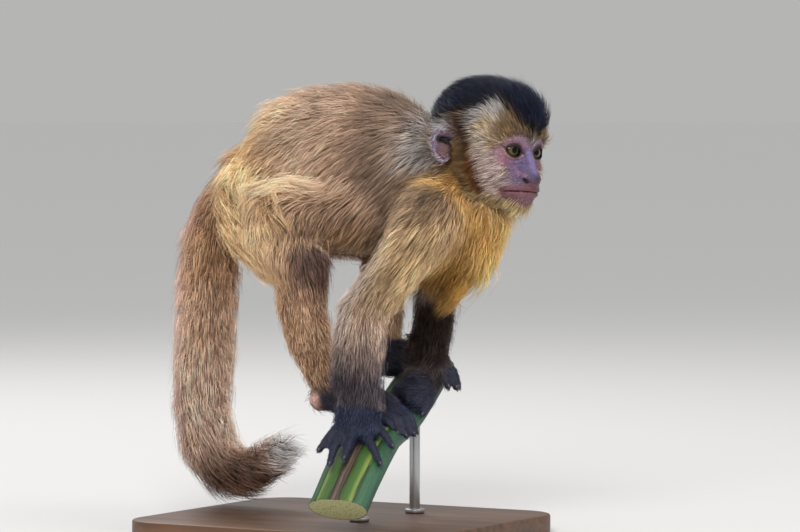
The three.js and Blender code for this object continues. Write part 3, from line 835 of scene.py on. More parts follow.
# Each piece of the coat: its material slot and the nodes it grows over.
COATS = {
    "coat_head_right": ("cap_coat", ["head_right", "ear_right"]),
    "coat_head_left": ("cap_coat", ["head_left", "ear_left"]),
    "coat_neck": ("chest_coat", ["neck"]),
    "coat_chest": ("chest_coat", ["chest"]),
    "coat_abdomen": ("back_coat", ["abdomen"]),
    "coat_pelvis": ("rump_coat", ["pelvis"]),
    "coat_arm_right": ("arm_coat", ["upper_arm_right", "forearm_right"]),
    "coat_arm_left": ("arm_coat", ["upper_arm_left", "forearm_left"]),
    "coat_leg_right": ("leg_coat", ["thigh_right", "shank_right"]),
    "coat_leg_left": ("leg_coat", ["thigh_left", "shank_left"]),
    "coat_tail": ("tail_coat", TAIL),
}
for word in SIDES:
    for end, digits in ENDS.items():
        parts = [f"{end}_{word}", *(f"{digit}_{word}_{end}" for digit in digits)]
        COATS[f"coat_{end}_{word}"] = ("hand_skin", parts)
MOST_LONG, MOST_SHORT = 13500, 16000  # tufts in one piece
LONG_TUFT = np.array(  # triangles: its sides up to the bend, its sides up to the tip, its foot
    [(0, 1, 4), (0, 4, 3), (1, 2, 5), (1, 5, 4), (2, 0, 3), (2, 3, 5)]
    + [(3, 4, 6), (4, 5, 6), (5, 3, 6), (0, 2, 1)]
)
SHORT_TUFT = np.array([(0, 1, 3), (1, 2, 3), (2, 0, 3), (0, 2, 1)])
SHORT_LENGTH = 0.66  # of a long tuft's
STRAY_SHARE = 0.10  # of the long tufts, which stand up out of their lock
STRAY_LIFT = (8, 26)  # how far they stand up, in degrees
LIFT_SPREAD = 4.5  # degrees
FULL_LENGTH = 18.0  # from this length in millimetres, tufts draw together fully
LOCK_LENGTHS, TUFT_LENGTHS = (0.8, 1.15), (0.7, 1.12)  # the shortest and longest, as shares
LOCK_TONES, TUFT_TONES = 0.13, 0.20  # how far their colours spread, as shares
ROOT_WIDTH, BEND_WIDTH = 0.55, 0.42  # half widths at the root and the bend, as shares of a tuft's width
TUFT_FLATNESS = 0.7  # a tuft's thickness, as a share of its width
PATCH = 0.003  # the size of a tuft's own patch in its piece's unwrap
LONG_PATCH = PATCH * np.array([(0, 0), (0.4, 0), (0.8, 0), (0, 0.5), (0.4, 0.5), (0.8, 0.5), (0.5, 1)])
SHORT_PATCH = LONG_PATCH[[0, 1, 2, 6]]


def sow(weights, count, rng):
    """Roots spread evenly over the triangles' weights: the triangle of each and its place in it."""
    running = np.cumsum(weights)
    spots = (np.arange(count) + rng.random(count)) * running[-1] / count
    faces = np.clip(np.searchsorted(running, spots), 0, len(weights) - 1)
    u, v = rng.random((2, count))
    over = u + v > 1
    u[over], v[over] = 1 - u[over], 1 - v[over]
    return faces, np.stack((1 - u - v, u, v), axis=1)


def charts(names, owner, roots):
    """Each root's place on an unwrap of the skin: every node rolled out round its own long axis."""
    place = np.zeros((len(roots), 2))
    shares = np.array([max((owner == name).sum(), 1) for name in names], float)
    starts = np.concatenate(([0], np.cumsum(shares / shares.sum())))
    for name, low, high in zip(names, starts[:-1], starts[1:]):
        mine = owner == name
        if not mine.any():
            continue
        spots = roots[mine] - roots[mine].mean(0)
        axes = np.linalg.svd(spots, full_matrices=False)[2]
        along, across, out = (spots @ axis for axis in axes)
        turn = (np.arctan2(out, across) / (2 * math.pi)) % 1
        along = (along - along.min()) / max(np.ptp(along), 1e-6)
        place[mine, 0] = low + (high - low) * (0.02 + 0.96 * turn)
        place[mine, 1] = 0.01 + 0.98 * along
    return place * (1 - PATCH)


def tuft_points(roots, normals, lie, length, lift, width, tips, bent):
    """Points for each tuft: a ring at the root, a ring half way if it is bent, and the tip."""
    rise = np.radians(lift)[:, None] * 1.3
    width = width[:, None]
    start = roots - 0.5 * normals
    bend = start + 0.5 * length[:, None] * (np.cos(rise) * lie + np.sin(rise) * normals)
    along = unit(tips - start)
    across = unit(np.cross(normals, along))
    out = unit(np.cross(along, across))
    rings = [(start, ROOT_WIDTH), (bend, BEND_WIDTH)] if bent else [(start, ROOT_WIDTH)]
    points = [
        centre + thick * width * (math.cos(angle) * across + TUFT_FLATNESS * math.sin(angle) * out)
        for centre, thick in rings
        for angle in (math.pi / 2, math.pi * 7 / 6, math.pi * 11 / 6)
    ]
    return np.stack([*points, tips], axis=1)


def grow_coat(name, skin, growth, flesh_names, coat, rng):
    """One piece of the coat: short straight tufts below, long bent ones above, over the nodes it covers."""
    owner = skin.region[skin.triangles[:, 0]]
    weights = growth.density[skin.triangles].mean(1) * np.isin(owner, flesh_names) * coat.fullness
    weights = np.linalg.norm(area_normals(skin.points, skin.triangles), axis=1) / 2 * weights
    long_count = int(min(weights.sum() * coat.long_share, MOST_LONG))
    short_count = int(min(weights.sum() * coat.short_share, MOST_SHORT))
    count = long_count + short_count
    is_long = np.arange(count) < long_count
    drawn = [sow(weights, number, rng) for number in (long_count, short_count)]
    faces, mix = (np.concatenate(pair) for pair in zip(*drawn))

    def at_root(values):
        return np.einsum("nk,nk...->n...", mix, values[skin.triangles[faces]])

    roots, normals, lie = at_root(skin.points), unit(at_root(skin.normals)), at_root(growth.lie)
    length, lift, width = at_root(growth.length), at_root(growth.lift), at_root(growth.width)
    lie = unit(lie - (lie * normals).sum(1)[:, None] * normals)
    side = np.cross(normals, lie)

    # Locks: neighbours, more along the lie than across it, lean the same way and draw together at their tips.
    stretch = lie.mean(0)
    spots = roots - 0.6 * (roots @ stretch)[:, None] * stretch
    leaders = rng.permutation(long_count)[: max(count // coat.lock_size, 4)]
    tree = KDTree(len(leaders))
    for number, spot in enumerate(spots[leaders].tolist()):
        tree.insert(spot, number)
    tree.balance()
    lock = np.array([tree.find(spot)[1] for spot in spots.tolist()])
    locks = len(leaders)
    sway = np.radians(rng.normal(0, coat.sway, locks)[lock] + rng.normal(0, coat.sway * 0.8, count))[:, None]
    lie = unit(np.cos(sway) * lie + np.sin(sway) * side)
    length = length * coat.length * rng.uniform(*LOCK_LENGTHS, locks)[lock]
    length = length * rng.uniform(*TUFT_LENGTHS, count)
    length = np.where(is_long, length, SHORT_LENGTH * length)
    together = 0.3 * np.clip(length / FULL_LENGTH, 0, 1) ** 2
    lift = lift * (1 + together * rng.uniform(-1, 1, locks)[lock]) + rng.normal(0, LIFT_SPREAD, count)
    stray = is_long & (rng.random(count) < STRAY_SHARE)
    lift = np.where(stray, lift + rng.uniform(*STRAY_LIFT, count), lift)
    low = np.radians(np.clip(lift * 0.55, 2, 70))[:, None]
    tips = roots + length[:, None] * (np.cos(low) * lie + np.sin(low) * normals)
    offset = roots - roots[leaders][lock]
    gather = (np.where(stray, 0.05, coat.gather) * np.clip(length / FULL_LENGTH, 0.25, 1))[:, None]
    gather = gather * np.clip(1 - np.linalg.norm(offset, axis=1) / (1.2 * length), 0, 1)[:, None]
    tips = tips * (1 - gather) + (tips[leaders][lock] + 0.35 * offset) * gather
    lift = np.clip(lift, 3, 75)

    shade = np.exp(rng.normal(0, LOCK_TONES, locks)[lock] + rng.normal(0, TUFT_TONES, count))[:, None]
    dark, light = at_root(growth.root) * shade, at_root(growth.tip) * shade
    place = charts(flesh_names, owner[faces], roots)
    points, triangles, colours, uvs, start = [], [], [], [], 0
    for bent, chosen, shape, spread in (
        (True, is_long, LONG_TUFT, LONG_PATCH),
        (False, ~is_long, SHORT_TUFT, SHORT_PATCH),
    ):
        part = [values[chosen] for values in (roots, normals, lie, length, lift, width, tips)]
        own = tuft_points(*part, bent)
        number, corners = own.shape[:2]
        own_triangles = (shape[None] + corners * np.arange(number)[:, None, None]).reshape(-1, 3)
        tone = np.empty((number, corners, 3), np.float32)
        # the root ring darker still, as painted shade among the tufts; long tufts end a little lighter, short
        # ones darker
        tone[:, :3] = dark[chosen][:, None] * 0.85
        tone[:, 3:] = (dark * 0.35 + light * 0.65)[chosen][:, None]
        tone[:, -1] = light[chosen] * (1.06 if bent else 0.8)
        uvs.append((place[chosen][:, None] + spread).reshape(-1, 2)[own_triangles.ravel()])
        points.append(own.reshape(-1, 3))
        triangles.append(own_triangles + start)
        colours.append(tone.reshape(-1, 3))
        start += number * corners
    obj = new_piece(name, np.concatenate(points), np.concatenate(triangles))
    paint_points(obj, "coat_colour", np.concatenate(colours))
    layer = obj.data.uv_layers.new(name="OFBake")
    layer.data.foreach_set("uv", np.concatenate(uvs).astype(np.float32).ravel())
    return obj


# ---------------------------------------------------------------- materials


def join(material, source, socket):
    """Links a socket to an output, or to a node's first output."""
    material.node_tree.links.new(source.outputs[0] if hasattr(source, "outputs") else source, socket)


def add_node(material, kind, links=None, stops=(), **settings):
    """Adds a shader node with its settings, its links and the stops of its colour ramp."""
    node = material.node_tree.nodes.new(f"ShaderNode{kind}")
    for key, value in settings.items():
        if hasattr(node, key) and key not in node.inputs:
            setattr(node, key, value)
        else:
            node.inputs[key.replace("_", " ")].default_value = value
    for key, source in (links or {}).items():
        join(material, source, node.inputs[key])
    if stops:
        elements = node.color_ramp.elements
        while len(elements) < len(stops):
            elements.new(0.5)
        for element, (position, colour) in zip(elements, stops):
            element.position = position
            element.color = (*(linear(colour) if isinstance(colour, str) else colour), 1)
    return node


def new_material(name, colour=None, **values):
    """A material whose Principled shader has these values, and that shader."""
    material = bpy.data.materials.new(name)
    material.use_nodes = True
    shader = material.node_tree.nodes["Principled BSDF"]
    if colour:
        shader.inputs["Base Color"].default_value = (*linear(colour), 1)
    for key, value in values.items():
        shader.inputs[key.replace("_", " ")].default_value = value
    return material, shader


def hair_material():
    """Monkey hair: fine, slightly greasy fibres, so the lay of the coat catches a soft, broad light."""
    material, shader = new_material("capuchin_hair", Roughness=0.6, IOR=1.45, Specular_IOR_Level=0.3)
    join(material, add_node(material, "Attribute", attribute_name="coat_colour"), shader.inputs["Base Color"])
    return material


def skin_colours(skin, growth):
    """The skin's colours: a darker copy of the hairs' where it is covered, as painted shade under the coat, and
    bare on face, hands and ears.
    """
    x, y, z = skin.head.T
    side = np.abs(y)
    place = np.stack((x, side, z), axis=1).astype(np.float32)
    face = skin.over(2, "head") * ramp(28, 35, x) * ramp(1.45, 1.15, np.hypot(side / 25, (z + 7) / 23))
    gap, rise, _ = lid_opening(place)
    below = mouth_height(x) - z
    ear = skin.over(0, "ear")
    back, up, _ = ear_frame(place)
    veins = np.sin(1.7 * back + 1.9 * up + np.sin(0.9 * back))
    hollow = np.minimum(*ear_hollow(back, up))

    def spot(out, height, radius, stretch=1.0):
        """1 at a place on each side of the face and less round it."""
        return hump(np.hypot((side - out) / stretch, z - height), 0, radius)

    marks = (
        (face, "#80616a"),
        (face * 0.55 * spot(20, -2, 7), "#7c434a"),  # flushed beside and under the eye
        (face * 0.6 * hump(z, 15, 4) * ramp(18, 12, side), "#7d6478"),  # brow
        (face * 0.55 * spot(12, -3, 6), "#705c86"),  # shadowed fold under the eye
        (face * 0.9 * ramp(11.5, 6.5, side) * ramp(14, 8, z) * ramp(-13, -9, z), "#463c5e"),  # violet bridge
        # painted highlight along the bridge of the nose
        (face * 0.7 * ramp(4.6, 1.8, side) * ramp(14, 8, z) * ramp(-9, -5, z), "#776c94"),
        (face * 0.85 * spot(11, -12, 8.0, 1.2), "#3a3150"),  # painted shade, violet, beside the nose
        (face * 0.55 * spot(8.5, -8.0, 2.2, 1.2), "#86647a"),  # paler wing
        (face * 0.95 * spot(0, -12.4, 4.8, 1.6) * ramp(53, 57, x), "#302430"),  # tip of the nose
        (face * 0.75 * ramp(7.0, 3.5, np.hypot(side / 1.3, (z + 14.2) * 1.4)) * ramp(52, 56, x), "#43323c"),
        (face * 0.5 * hump(z, -17, 4.0) * ramp(44, 50, x) * ramp(13, 8, side), "#7a5058"),  # below the nose
        (face * 0.8 * ramp(2.5, 5, below) * ramp(14, 10, below) * ramp(36, 41, x), "#56383e"),  # chin
        (face * 0.7 * ramp(5.0, 2.0, np.abs(below + 0.4)) * ramp(38, 42, x), "#5a2c2e"),  # lips
        # painted highlight on the lower lip
        (face * 0.45 * hump(below, 2.4, 0.9) * ramp(42, 46, x), "#784c52"),
        # painted shade in the seam between the lips
        (face * hump(below, 0, 0.45) * ramp(42, 45, x), "#2a1216"),
        (face * 0.5 * hump(z, 22, 5) * ramp(9, 5, side), "#5d5468"),
        (face * 0.75 * ramp(3.8, 2.2, gap) * ramp(-1.5, 1.5, rise), "#4c3034"),  # dark upper lid and its edge: the lid's dark skin and painted shade under the brow
        (face * ramp(2.2, 1.2, gap) * ramp(-0.5, 0.8, rise), "#1f1214"),
        (face * ramp(2.2, 1.4, gap) * ramp(0.3, -1.5, rise), "#94706a"),  # paler edge of the lower lid
        # dark rim round the opening: the lids' dark margins and painted shade where they meet the eye
        (face * ramp(0.9, 0.3, gap), "#1c0f11"),
        # painted shade inside the nostril
        (face * ramp(0.7, 0.1, rod(place, *NOSTRIL)), "#0c0507"),
        (ear, "#746578"),
        (ear * 0.85 * ramp(10.0, 7.0, np.hypot(back + 1, up * 0.8)), "#5a434e"),
        (ear * 0.85 * ramp(7.5, 4.5, np.hypot(back + 0.2, up + 6.0)), "#5a3a36"),  # soft lobe in the middle
        (ear * 0.5 * ramp(0.3, 0.9, veins), "#43323e"),
        # painted shade in the ear's hollow
        (ear * ramp(3.6, 1.8, hollow), "#110607"),
        (ear * ramp(-6.5, -8.5, back), "#33221a"),
        (skin.over(3, "hand"), "#161826"),
        (skin.over(3, "digit"), "#1b1d2c"),
        (skin.over(3, "foot"), "#1e1e2a"),
        (skin.heel, "#b89084"),
    )
    # under the coat, the hairs' colours darkened as painted shade
    colours = (0.5 * growth.root + 0.5 * growth.tip) * 0.6
    for amount, code in marks:
        colours = blend(colours, linear(code), np.clip(amount, 0, 1))
    return colours


def skin_material():
    """Bare primate skin: fine creases and pores, a little oily, so it shines softly where it is stretched."""
    material, shader = new_material("capuchin_skin", Roughness=0.48, IOR=1.4)
    add = partial(add_node, material)
    place = add("TexCoord").outputs["Object"]
    colour = add("Attribute", attribute_name="skin_colour")
    mottle = add("TexNoise", {"Vector": place}, Scale=650.0, Detail=8.0, Roughness=0.7)  # 1.5 mm across
    blotch = add("MapRange", {"Value": mottle}, From_Min=0.3, From_Max=0.7, To_Min=0.5, To_Max=1.6)
    mottled = add("VectorMath", {0: colour, 1: blotch}, operation="MULTIPLY")
    join(material, mottled, shader.inputs["Base Color"])
    creases = add("Bump", {"Height": mottle}, Strength=0.7, Distance=0.0009)
    pores = add("TexVoronoi", {"Vector": place}, Scale=1300.0)  # 0.8 mm apart: coarser than real, to show
    relief = add("Bump", {"Height": pores, "Normal": creases}, Strength=0.35, Distance=0.0004)
    join(material, relief, shader.inputs["Normal"])
    return material


def eye_material(eyes):
    """A living eye: wet and clear at the front, with a dark-edged iris round a black pupil."""
    material, shader = new_material(
        "capuchin_eye", Roughness=0.3, IOR=1.38, Specular_IOR_Level=0.1, Coat_Roughness=0.02
    )
    add = partial(add_node, material)
    pupil, iris = eyes.pupil / 10, eyes.iris / 10  # the attribute is in centimetres, to stay within the ramp
    away = add("Attribute", attribute_name="from_pupil").outputs["Fac"]
    wet = add("MapRange", {"Value": away}, From_Min=pupil, From_Max=pupil + 0.12, To_Min=0.15, To_Max=0.8)
    join(material, wet, shader.inputs["Coat Weight"])
    place = add("TexCoord").outputs["Object"]
    rays = add("TexNoise", {"Vector": place}, Scale=900.0, Detail=3.0)  # about a millimetre long
    steps = (
        (0.0, "#030202"),
        (pupil - 0.01, "#040303"),
        (pupil + 0.02, "#2a2210"),
        (pupil + 0.12, "#524720"),
        (iris - 0.12, "#3a2e14"),
        (iris - 0.04, "#0d0906"),
        (iris + 0.04, "#1a110f"),
        (iris + 0.14, "#5e4a44"),
    )
    rings = add("ValToRGB", {"Fac": away}, steps)
    fleck = add("MapRange", {"Value": rays}, To_Min=0.6, To_Max=1.4)
    flecked = add("VectorMath", {0: rings, 1: fleck}, operation="MULTIPLY")
    join(material, flecked, shader.inputs["Base Color"])
    return material


# ---------------------------------------------------------------- eyes and nails

GAZE = unit(HEAD_AXES @ np.array((math.cos(math.radians(12)), -math.sin(math.radians(12)), 0.12)))


def build_eye(word, eyes):
    """An eyeball with a clear bulge over the iris."""
    centre = from_head(EYE_AT * (1, SIDES[word], 1))
    obj = added("uv_sphere", f"eye_ball_{word}", segments=64, ring_count=40, radius=(EYE_RADIUS - 0.15) * MM)
    bpy.ops.object.shade_smooth()
    turn = Vector((0, 0, 1)).rotation_difference(Vector(GAZE)).to_matrix()
    points = points_of(obj.data) @ np.array(turn).T
    away = np.linalg.norm(points - (points @ GAZE)[:, None] * GAZE, axis=1)
    front = (points @ GAZE > 0) * ramp(eyes.iris + 0.9, 0, away)
    points = points + front[:, None] * GAZE * EYE_BULGE
    away = np.where(points @ GAZE > 0, away, 9.9)
    move_points(obj, points + centre)
    layer = obj.data.attributes.new("from_pupil", "FLOAT", "POINT")
    layer.data.foreach_set("value", (away / 10).astype(np.float32))
    obj.data.update()
    return obj


def build_nails(nails):
    """One narrow, curved nail, copied to the tip of every finger and toe."""
    pattern = added("uv_sphere", segments=16, ring_count=12, radius=1.0)
    bpy.ops.object.mode_set(mode="EDIT")
    bpy.ops.mesh.select_all(action="SELECT")
    bpy.ops.mesh.bisect(plane_co=(0, 0, -0.15), plane_no=(0, 0, -1), use_fill=True, clear_outer=True)
    bpy.ops.object.mode_set(mode="OBJECT")
    shape = points_of(pattern.data) * MM
    taper = 1 - 0.75 * ramp(-0.1, 1, shape[:, 0])
    shape[:, 1] *= taper
    shape[:, 2] = shape[:, 2] * taper - 0.9 * np.clip(shape[:, 0] + 0.2, 0, 1.2) ** 2
    shape *= (nails.length / 2, nails.width / 2, 1.2)
    faces = triangles_of(pattern.data)
    bpy.data.objects.remove(pattern)
    points, triangles = [], []
    for number, name in enumerate(DIGITS):
        _, side, end = name.split("_")
        own = node_shape(name)[0]
        axis = long_axis(name)
        axis = axis * np.sign(axis @ (own.mean(0) - middle(f"{end}_{side}")))
        reach = own @ axis
        tip = own[reach > reach.max() - 2.5].mean(0)
        tip += axis * (reach.max() - tip @ axis)
        dorsal = np.array((0.35, -0.35, 0.9) if end == "hand" else (0.3, -0.15, 0.95))
        dorsal = unit(dorsal - (dorsal @ axis) * axis)
        basis = np.stack((axis, np.cross(dorsal, axis), dorsal))
        points.append(shape @ basis + tip - axis * 2.7 + dorsal * 1.5)
        triangles.append(faces + number * len(shape))
    return new_piece("nails", np.concatenate(points), np.concatenate(triangles))


def nail_material():
    """Horn of the nails: smooth, hard keratin, dark and slightly glossy."""
    return new_material("capuchin_nail", "#2c2831", Roughness=0.35, IOR=1.55)[0]


# ---------------------------------------------------------------- stalk and stand

# The stalk's middle line, with its half width and half height.
STALK = np.array(
    [
        (22, -128, -171, 24, 12),
        (21, -106, -149, 24, 12),
        (17, -83, -134, 24, 12),
        (11, -62, -127.5, 23.5, 11.5),
        (7, -45, -124, 23, 11.5),
        (2, -14, -116, 23, 11),
        (-3, 24, -97, 22, 11),
        (-8, 58, -78, 21, 10),
    ]
)
# The colours round the stalk: a brown strip runs along its green top, between yellow edges; the blue-green of
# its sides is partly painted shade.
GREEN, DARK_GREEN, BLUE_GREEN, YELLOW = "#405e28", "#1c3318", "#2f5344", "#74883a"
STALK_RINGS = (
    (0.0, BLUE_GREEN), (0.115, "#355c3e"), (0.136, DARK_GREEN), (0.15, YELLOW), (0.175, GREEN),
    (0.212, "#385426"), (0.222, "#2a2118"), (0.234, "#5c4c40"), (0.244, "#33281f"), (0.252, "#6e5c50"),
    (0.264, "#3d3128"), (0.274, "#221b14"), (0.285, "#385426"), (0.33, GREEN), (0.352, YELLOW),
    (0.364, DARK_GREEN), (0.385, "#355c3e"), (0.52, BLUE_GREEN), (0.75, "#345226"), (1.0, BLUE_GREEN),
)


def along_curve(stations, count):
    """Evenly spaced places on a smooth curve through the stations."""
    n = len(stations)
    padded = np.concatenate((2 * stations[:1] - stations[1:2], stations, 2 * stations[-1:] - stations[-2:-1]))
    t = np.linspace(0, n - 1, count)
    i = np.minimum(t.astype(int), n - 2)
    f = (t - i)[:, None]
    a, b, c, d = (padded[i + k] for k in range(4))
    return 0.5 * (2 * b + (c - a) * f + (2 * a - 5 * b + 4 * c - d) * f**2 + (3 * b - a - 3 * c + d) * f**3)


def build_stalk():
    """A cut length of a palm's leaf stalk: a flattened, ribbed rod with flat ends."""
    rings, sides = 150, 96
    line = along_curve(STALK, rings)
    spots, wide, high = line[:, :3] + AIM, line[:, 3, None], line[:, 4, None]
    ahead = unit(np.gradient(spots, axis=0))
    up = np.array((0, -0.3, 1.0))
    top = unit(up - (ahead @ up)[:, None] * ahead)
    across = np.cross(ahead, top)
    angle = np.arange(sides) / sides * 2 * math.pi
    above = np.sin(angle) > 0
    rib = 1 - 0.012 * (0.5 + 0.5 * np.cos(angle * 17)) - 0.008 * (0.5 + 0.5 * np.cos(angle * 41 + 1.3))
    rib = rib - 0.035 * hump(np.abs(np.cos(angle)), 0.66, 0.035) * above
    groove = 1 - 0.10 * hump(np.cos(angle), 0, 0.34) * above
    shell = (
        spots[:, None]
        + across[:, None] * (wide * np.cos(angle) * rib)[..., None]
        + top[:, None] * (high * np.sin(angle) * rib * groove)[..., None]
    )
    inward = np.array((0.2, 0.55, 0.97))[:, None, None]  # the rings of each cut end
    start, end = (spots[i] + (shell[i] - spots[i]) * inward for i in (0, -1))
    shell = np.concatenate((start, shell, end[::-1]))

    ring, last = np.arange(sides), len(shell) * sides
    after = np.roll(ring, -1)
    quads = [
        np.stack((first + ring, first + after, first + sides + after, first + sides + ring), axis=1)
        for first in range(0, last - sides, sides)
    ]
    hub = np.full(sides, last)
    first_fan = np.stack((after, ring, hub), axis=1)
    last_fan = np.stack((last - sides + ring, last - sides + after, hub + 1), axis=1)
    points = np.concatenate((shell.reshape(-1, 3), spots[[0, -1]]))
    obj = new_piece("stalk", points, np.concatenate((halved(np.concatenate(quads)), first_fan, last_fan)))
    fibre = np.tile((0.0, 0.0, 1.0), (len(points), 1))  # round the stalk, along it, and 1 on its ends
    outside = slice(len(start) * sides, (len(start) + rings) * sides)
    fibre[outside, 0] = np.tile(angle / (2 * math.pi), rings)
    fibre[outside, 1] = np.repeat(np.linspace(0, 1, rings), sides)
    fibre[outside, 2] = 0
    layer = obj.data.attributes.new("fibre", "FLOAT_VECTOR", "POINT")
    layer.data.foreach_set("vector", fibre.astype(np.float32).ravel())
    return obj


def stalk_material():
    """A fresh palm stalk: waxy green skin with yellow edges and a dry, fibrous brown strip along the top."""
    material, shader = new_material("palm_stalk", Roughness=0.42, IOR=1.45)
    add = partial(add_node, material)
    fibre = add("Attribute", attribute_name="fibre").outputs["Vector"]
    parts = add("SeparateXYZ", {"Vector": fibre}).outputs
    drawn = add("VectorMath", {0: fibre}, operation="MULTIPLY")
    drawn.inputs[1].default_value = (60.0, 5.0, 1.0)  # with the scale below, fibres 1.1 mm by 40 mm
    streaks = add("TexNoise", {"Vector": drawn}, Scale=1.6, Detail=8.0, Roughness=0.65)
    ragged = add("MapRange", {"Value": streaks}, To_Min=-0.03, To_Max=0.03)
    wander = add("Math", {0: parts["X"], 1: ragged}, operation="ADD")
    rings = add("ValToRGB", {"Fac": wander}, STALK_RINGS)
    shade = add("MapRange", {"Value": streaks}, To_Min=0.55, To_Max=1.45)
    skin = add("VectorMath", {0: rings, 1: shade}, operation="MULTIPLY")
    cut = add("Mix", {"Factor": parts["Z"]}, data_type="RGBA")
    join(material, skin, cut.inputs["A"])
    place = add("TexCoord").outputs["Object"]
    bundles = add("TexVoronoi", {"Vector": place}, Scale=520.0)  # fibre bundles 1.9 mm apart
    pith = add("ValToRGB", {"Fac": bundles}, ((0.12, "#6e6a40"), (0.4, "#a8a67a")))
    join(material, pith, cut.inputs["B"])
    join(material, cut.outputs["Result"], shader.inputs["Base Color"])
    join(material, add("Bump", {"Height": streaks}, Strength=0.5, Distance=0.0012), shader.inputs["Normal"])
    return material


def ease(obj, wanted, offset, segments):
    """Bevels the edges whose rise in metres is wanted."""
    bpy.ops.object.mode_set(mode="EDIT")
    bpy.ops.mesh.select_mode(type="EDGE")
    bpy.ops.mesh.select_all(action="DESELECT")
    bpy.ops.object.mode_set(mode="OBJECT")
    for edge in obj.data.edges:
        a, b = (obj.data.vertices[v].co for v in edge.vertices)
        edge.select = wanted(abs(a.z - b.z))
    bpy.ops.object.mode_set(mode="EDIT")
    bpy.ops.mesh.bevel(offset=offset * MM, offset_type="OFFSET", segments=segments)
    bpy.ops.object.mode_set(mode="OBJECT")


def build_base():
    """A wooden board with rounded corners and eased edges."""
    low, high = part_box("stand_base")
    obj = added("cube", "base_board", size=1, location=(low + high) / 2)
    obj.scale = high - low
    bpy.ops.object.transform_apply(location=True, rotation=True, scale=True)
    ease(obj, lambda rise: rise > 0.005, 32, 12)
    ease(obj, lambda rise: rise < 1e-5, 1.8, 3)
    bpy.ops.object.shade_smooth_by_angle(angle=math.radians(40))
    return obj


def wood_material(stand):
    """Oiled walnut: close, dark grain that runs the length of the board under a soft sheen."""
    material, shader = new_material("oiled_walnut", Roughness=0.45, IOR=1.5)
    place = add_node(material, "TexCoord").outputs["Object"]
    drawn = add_node(material, "Mapping", {"Vector": place}, Scale=(6.0, 90.0, 90.0))  # 11 mm by 170 mm
    warp = add_node(material, "TexNoise", {"Vector": drawn}, Scale=1.0, Detail=6.0, Distortion=1.2)
    wood = np.array(stand.board_colour)
    grain = add_node(material, "ValToRGB", {"Fac": warp}, ((0.35, wood * 0.45), (0.68, wood)))
    join(material, grain, shader.inputs["Base Color"])
    return material


def build_rod(number):
    """A round rod that stands in a low collar on the board."""
    low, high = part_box(f"stand_rod_{number}")
    centre, collar_height = (low + high) / 2, 3.2 * MM
    name, size = f"steel_rod_{number}", high - low
    obj = added("cylinder", name, vertices=48, radius=size.y / 2, depth=size.z, location=centre)
    centre.z = low.z + collar_height / 2
    collar = added("cylinder", vertices=48, radius=7.5 * MM, depth=collar_height, location=centre)
    for piece, width in ((obj, 0.3), (collar, 0.8)):
        apply_modifier(piece, "BEVEL", width=width * MM, segments=3, limit_method="ANGLE")
    only(obj)
    collar.select_set(True)
    bpy.ops.object.join()
    bpy.ops.object.transform_apply(location=True, rotation=True, scale=True)
    bpy.ops.object.shade_smooth_by_angle(angle=math.radians(40))
    return obj


def steel_material():
    """Stainless rod, drawn and lightly brushed, so its highlight spreads round it."""
    return new_material("brushed_stainless", "#b9bbbd", Metallic=1.0, Roughness=0.34, Anisotropic=0.4)[0]


# ---------------------------------------------------------------- stage


def build_world(sky):
    """Even light from all round, and a grey background that the camera, metal and glass see."""
    world = bpy.data.worlds.new("studio")
    bpy.context.scene.world = world
    world.use_nodes = True
    nodes, links = world.node_tree.nodes, world.node_tree.links
    light = nodes["Background"]
    light.inputs["Color"].default_value = (*linear("#f1f3f6"), 1)
    light.inputs["Strength"].default_value = sky
    seen = nodes.new("ShaderNodeBackground")
    seen.inputs["Color"].default_value = (*linear("#b5b5b4"), 1)
    kinds = ("LightPath", "Math", "Math", "MixShader")
    path, either, also, pick = (nodes.new(f"ShaderNode{kind}") for kind in kinds)
    either.operation = also.operation = "MAXIMUM"
    for source, socket in (
        (path.outputs["Is Camera Ray"], either.inputs[0]),
        (path.outputs["Is Glossy Ray"], either.inputs[1]),
        (either.outputs[0], also.inputs[0]),
        (path.outputs["Is Transmission Ray"], also.inputs[1]),
        (also.outputs[0], pick.inputs["Fac"]),
        (light.outputs[0], pick.inputs[1]),
        (seen.outputs[0], pick.inputs[2]),
        (pick.outputs[0], nodes["World Output"].inputs["Surface"]),
    ):
        links.new(source, socket)


def place_looking(name, data, place, aim):
    """A lamp or camera that looks at the aim."""
    obj = bpy.data.objects.new(name, data)
    bpy.context.scene.collection.objects.link(obj)
    obj.location = place
    obj.rotation_euler = (aim - place).to_track_quat("-Z", "Y").to_euler()
    return obj


def build_stage(stage):
    """A pale floor, soft lamps and the camera."""
    floor = added("circle", "floor", vertices=128, radius=40, fill_type="NGON")
    floor.data.materials.append(new_material("pale_floor", "#cdcbc8", Roughness=0.9)[0])
    build_world(stage.sky)

    aim = Vector(AIM * MM)
    for name, place, power, size in (
        ("key_lamp", (0.75, -1.75, 1.45), stage.key, 0.9),
        ("fill_lamp", (1.5, 0.0, 1.9), stage.fill, 1.0),
        ("back_lamp", (-1.3, 0.9, 1.6), stage.rim, 0.9),
    ):
        data = bpy.data.lights.new(name, "AREA")
        data.energy, data.size = power, size
        place_looking(name, data, Vector(place), aim)

    data = bpy.data.cameras.new("camera")
    data.lens, data.sensor_width = stage.lens, 36
    data.clip_start, data.clip_end = 0.05, 30
    azimuth, rise = stage.azimuth, stage.elevation
    back = Vector((math.sin(azimuth) * math.cos(rise), -math.cos(azimuth) * math.cos(rise), math.sin(rise)))
    bpy.context.scene.camera = place_looking("camera", data, aim + back * stage.distance, aim)
    bpy.context.scene.view_settings.view_transform = "Standard"


# ---------------------------------------------------------------- settings


class CapuchinSkin(bpy.types.PropertyGroup):
    voxel: FloatProperty(name="Voxel", description="Grid of the skin, in millimetres", default=1.2, min=0.8)
    seed: IntProperty(name="Seed", description="Starts the scatter of the tufts", default=7)


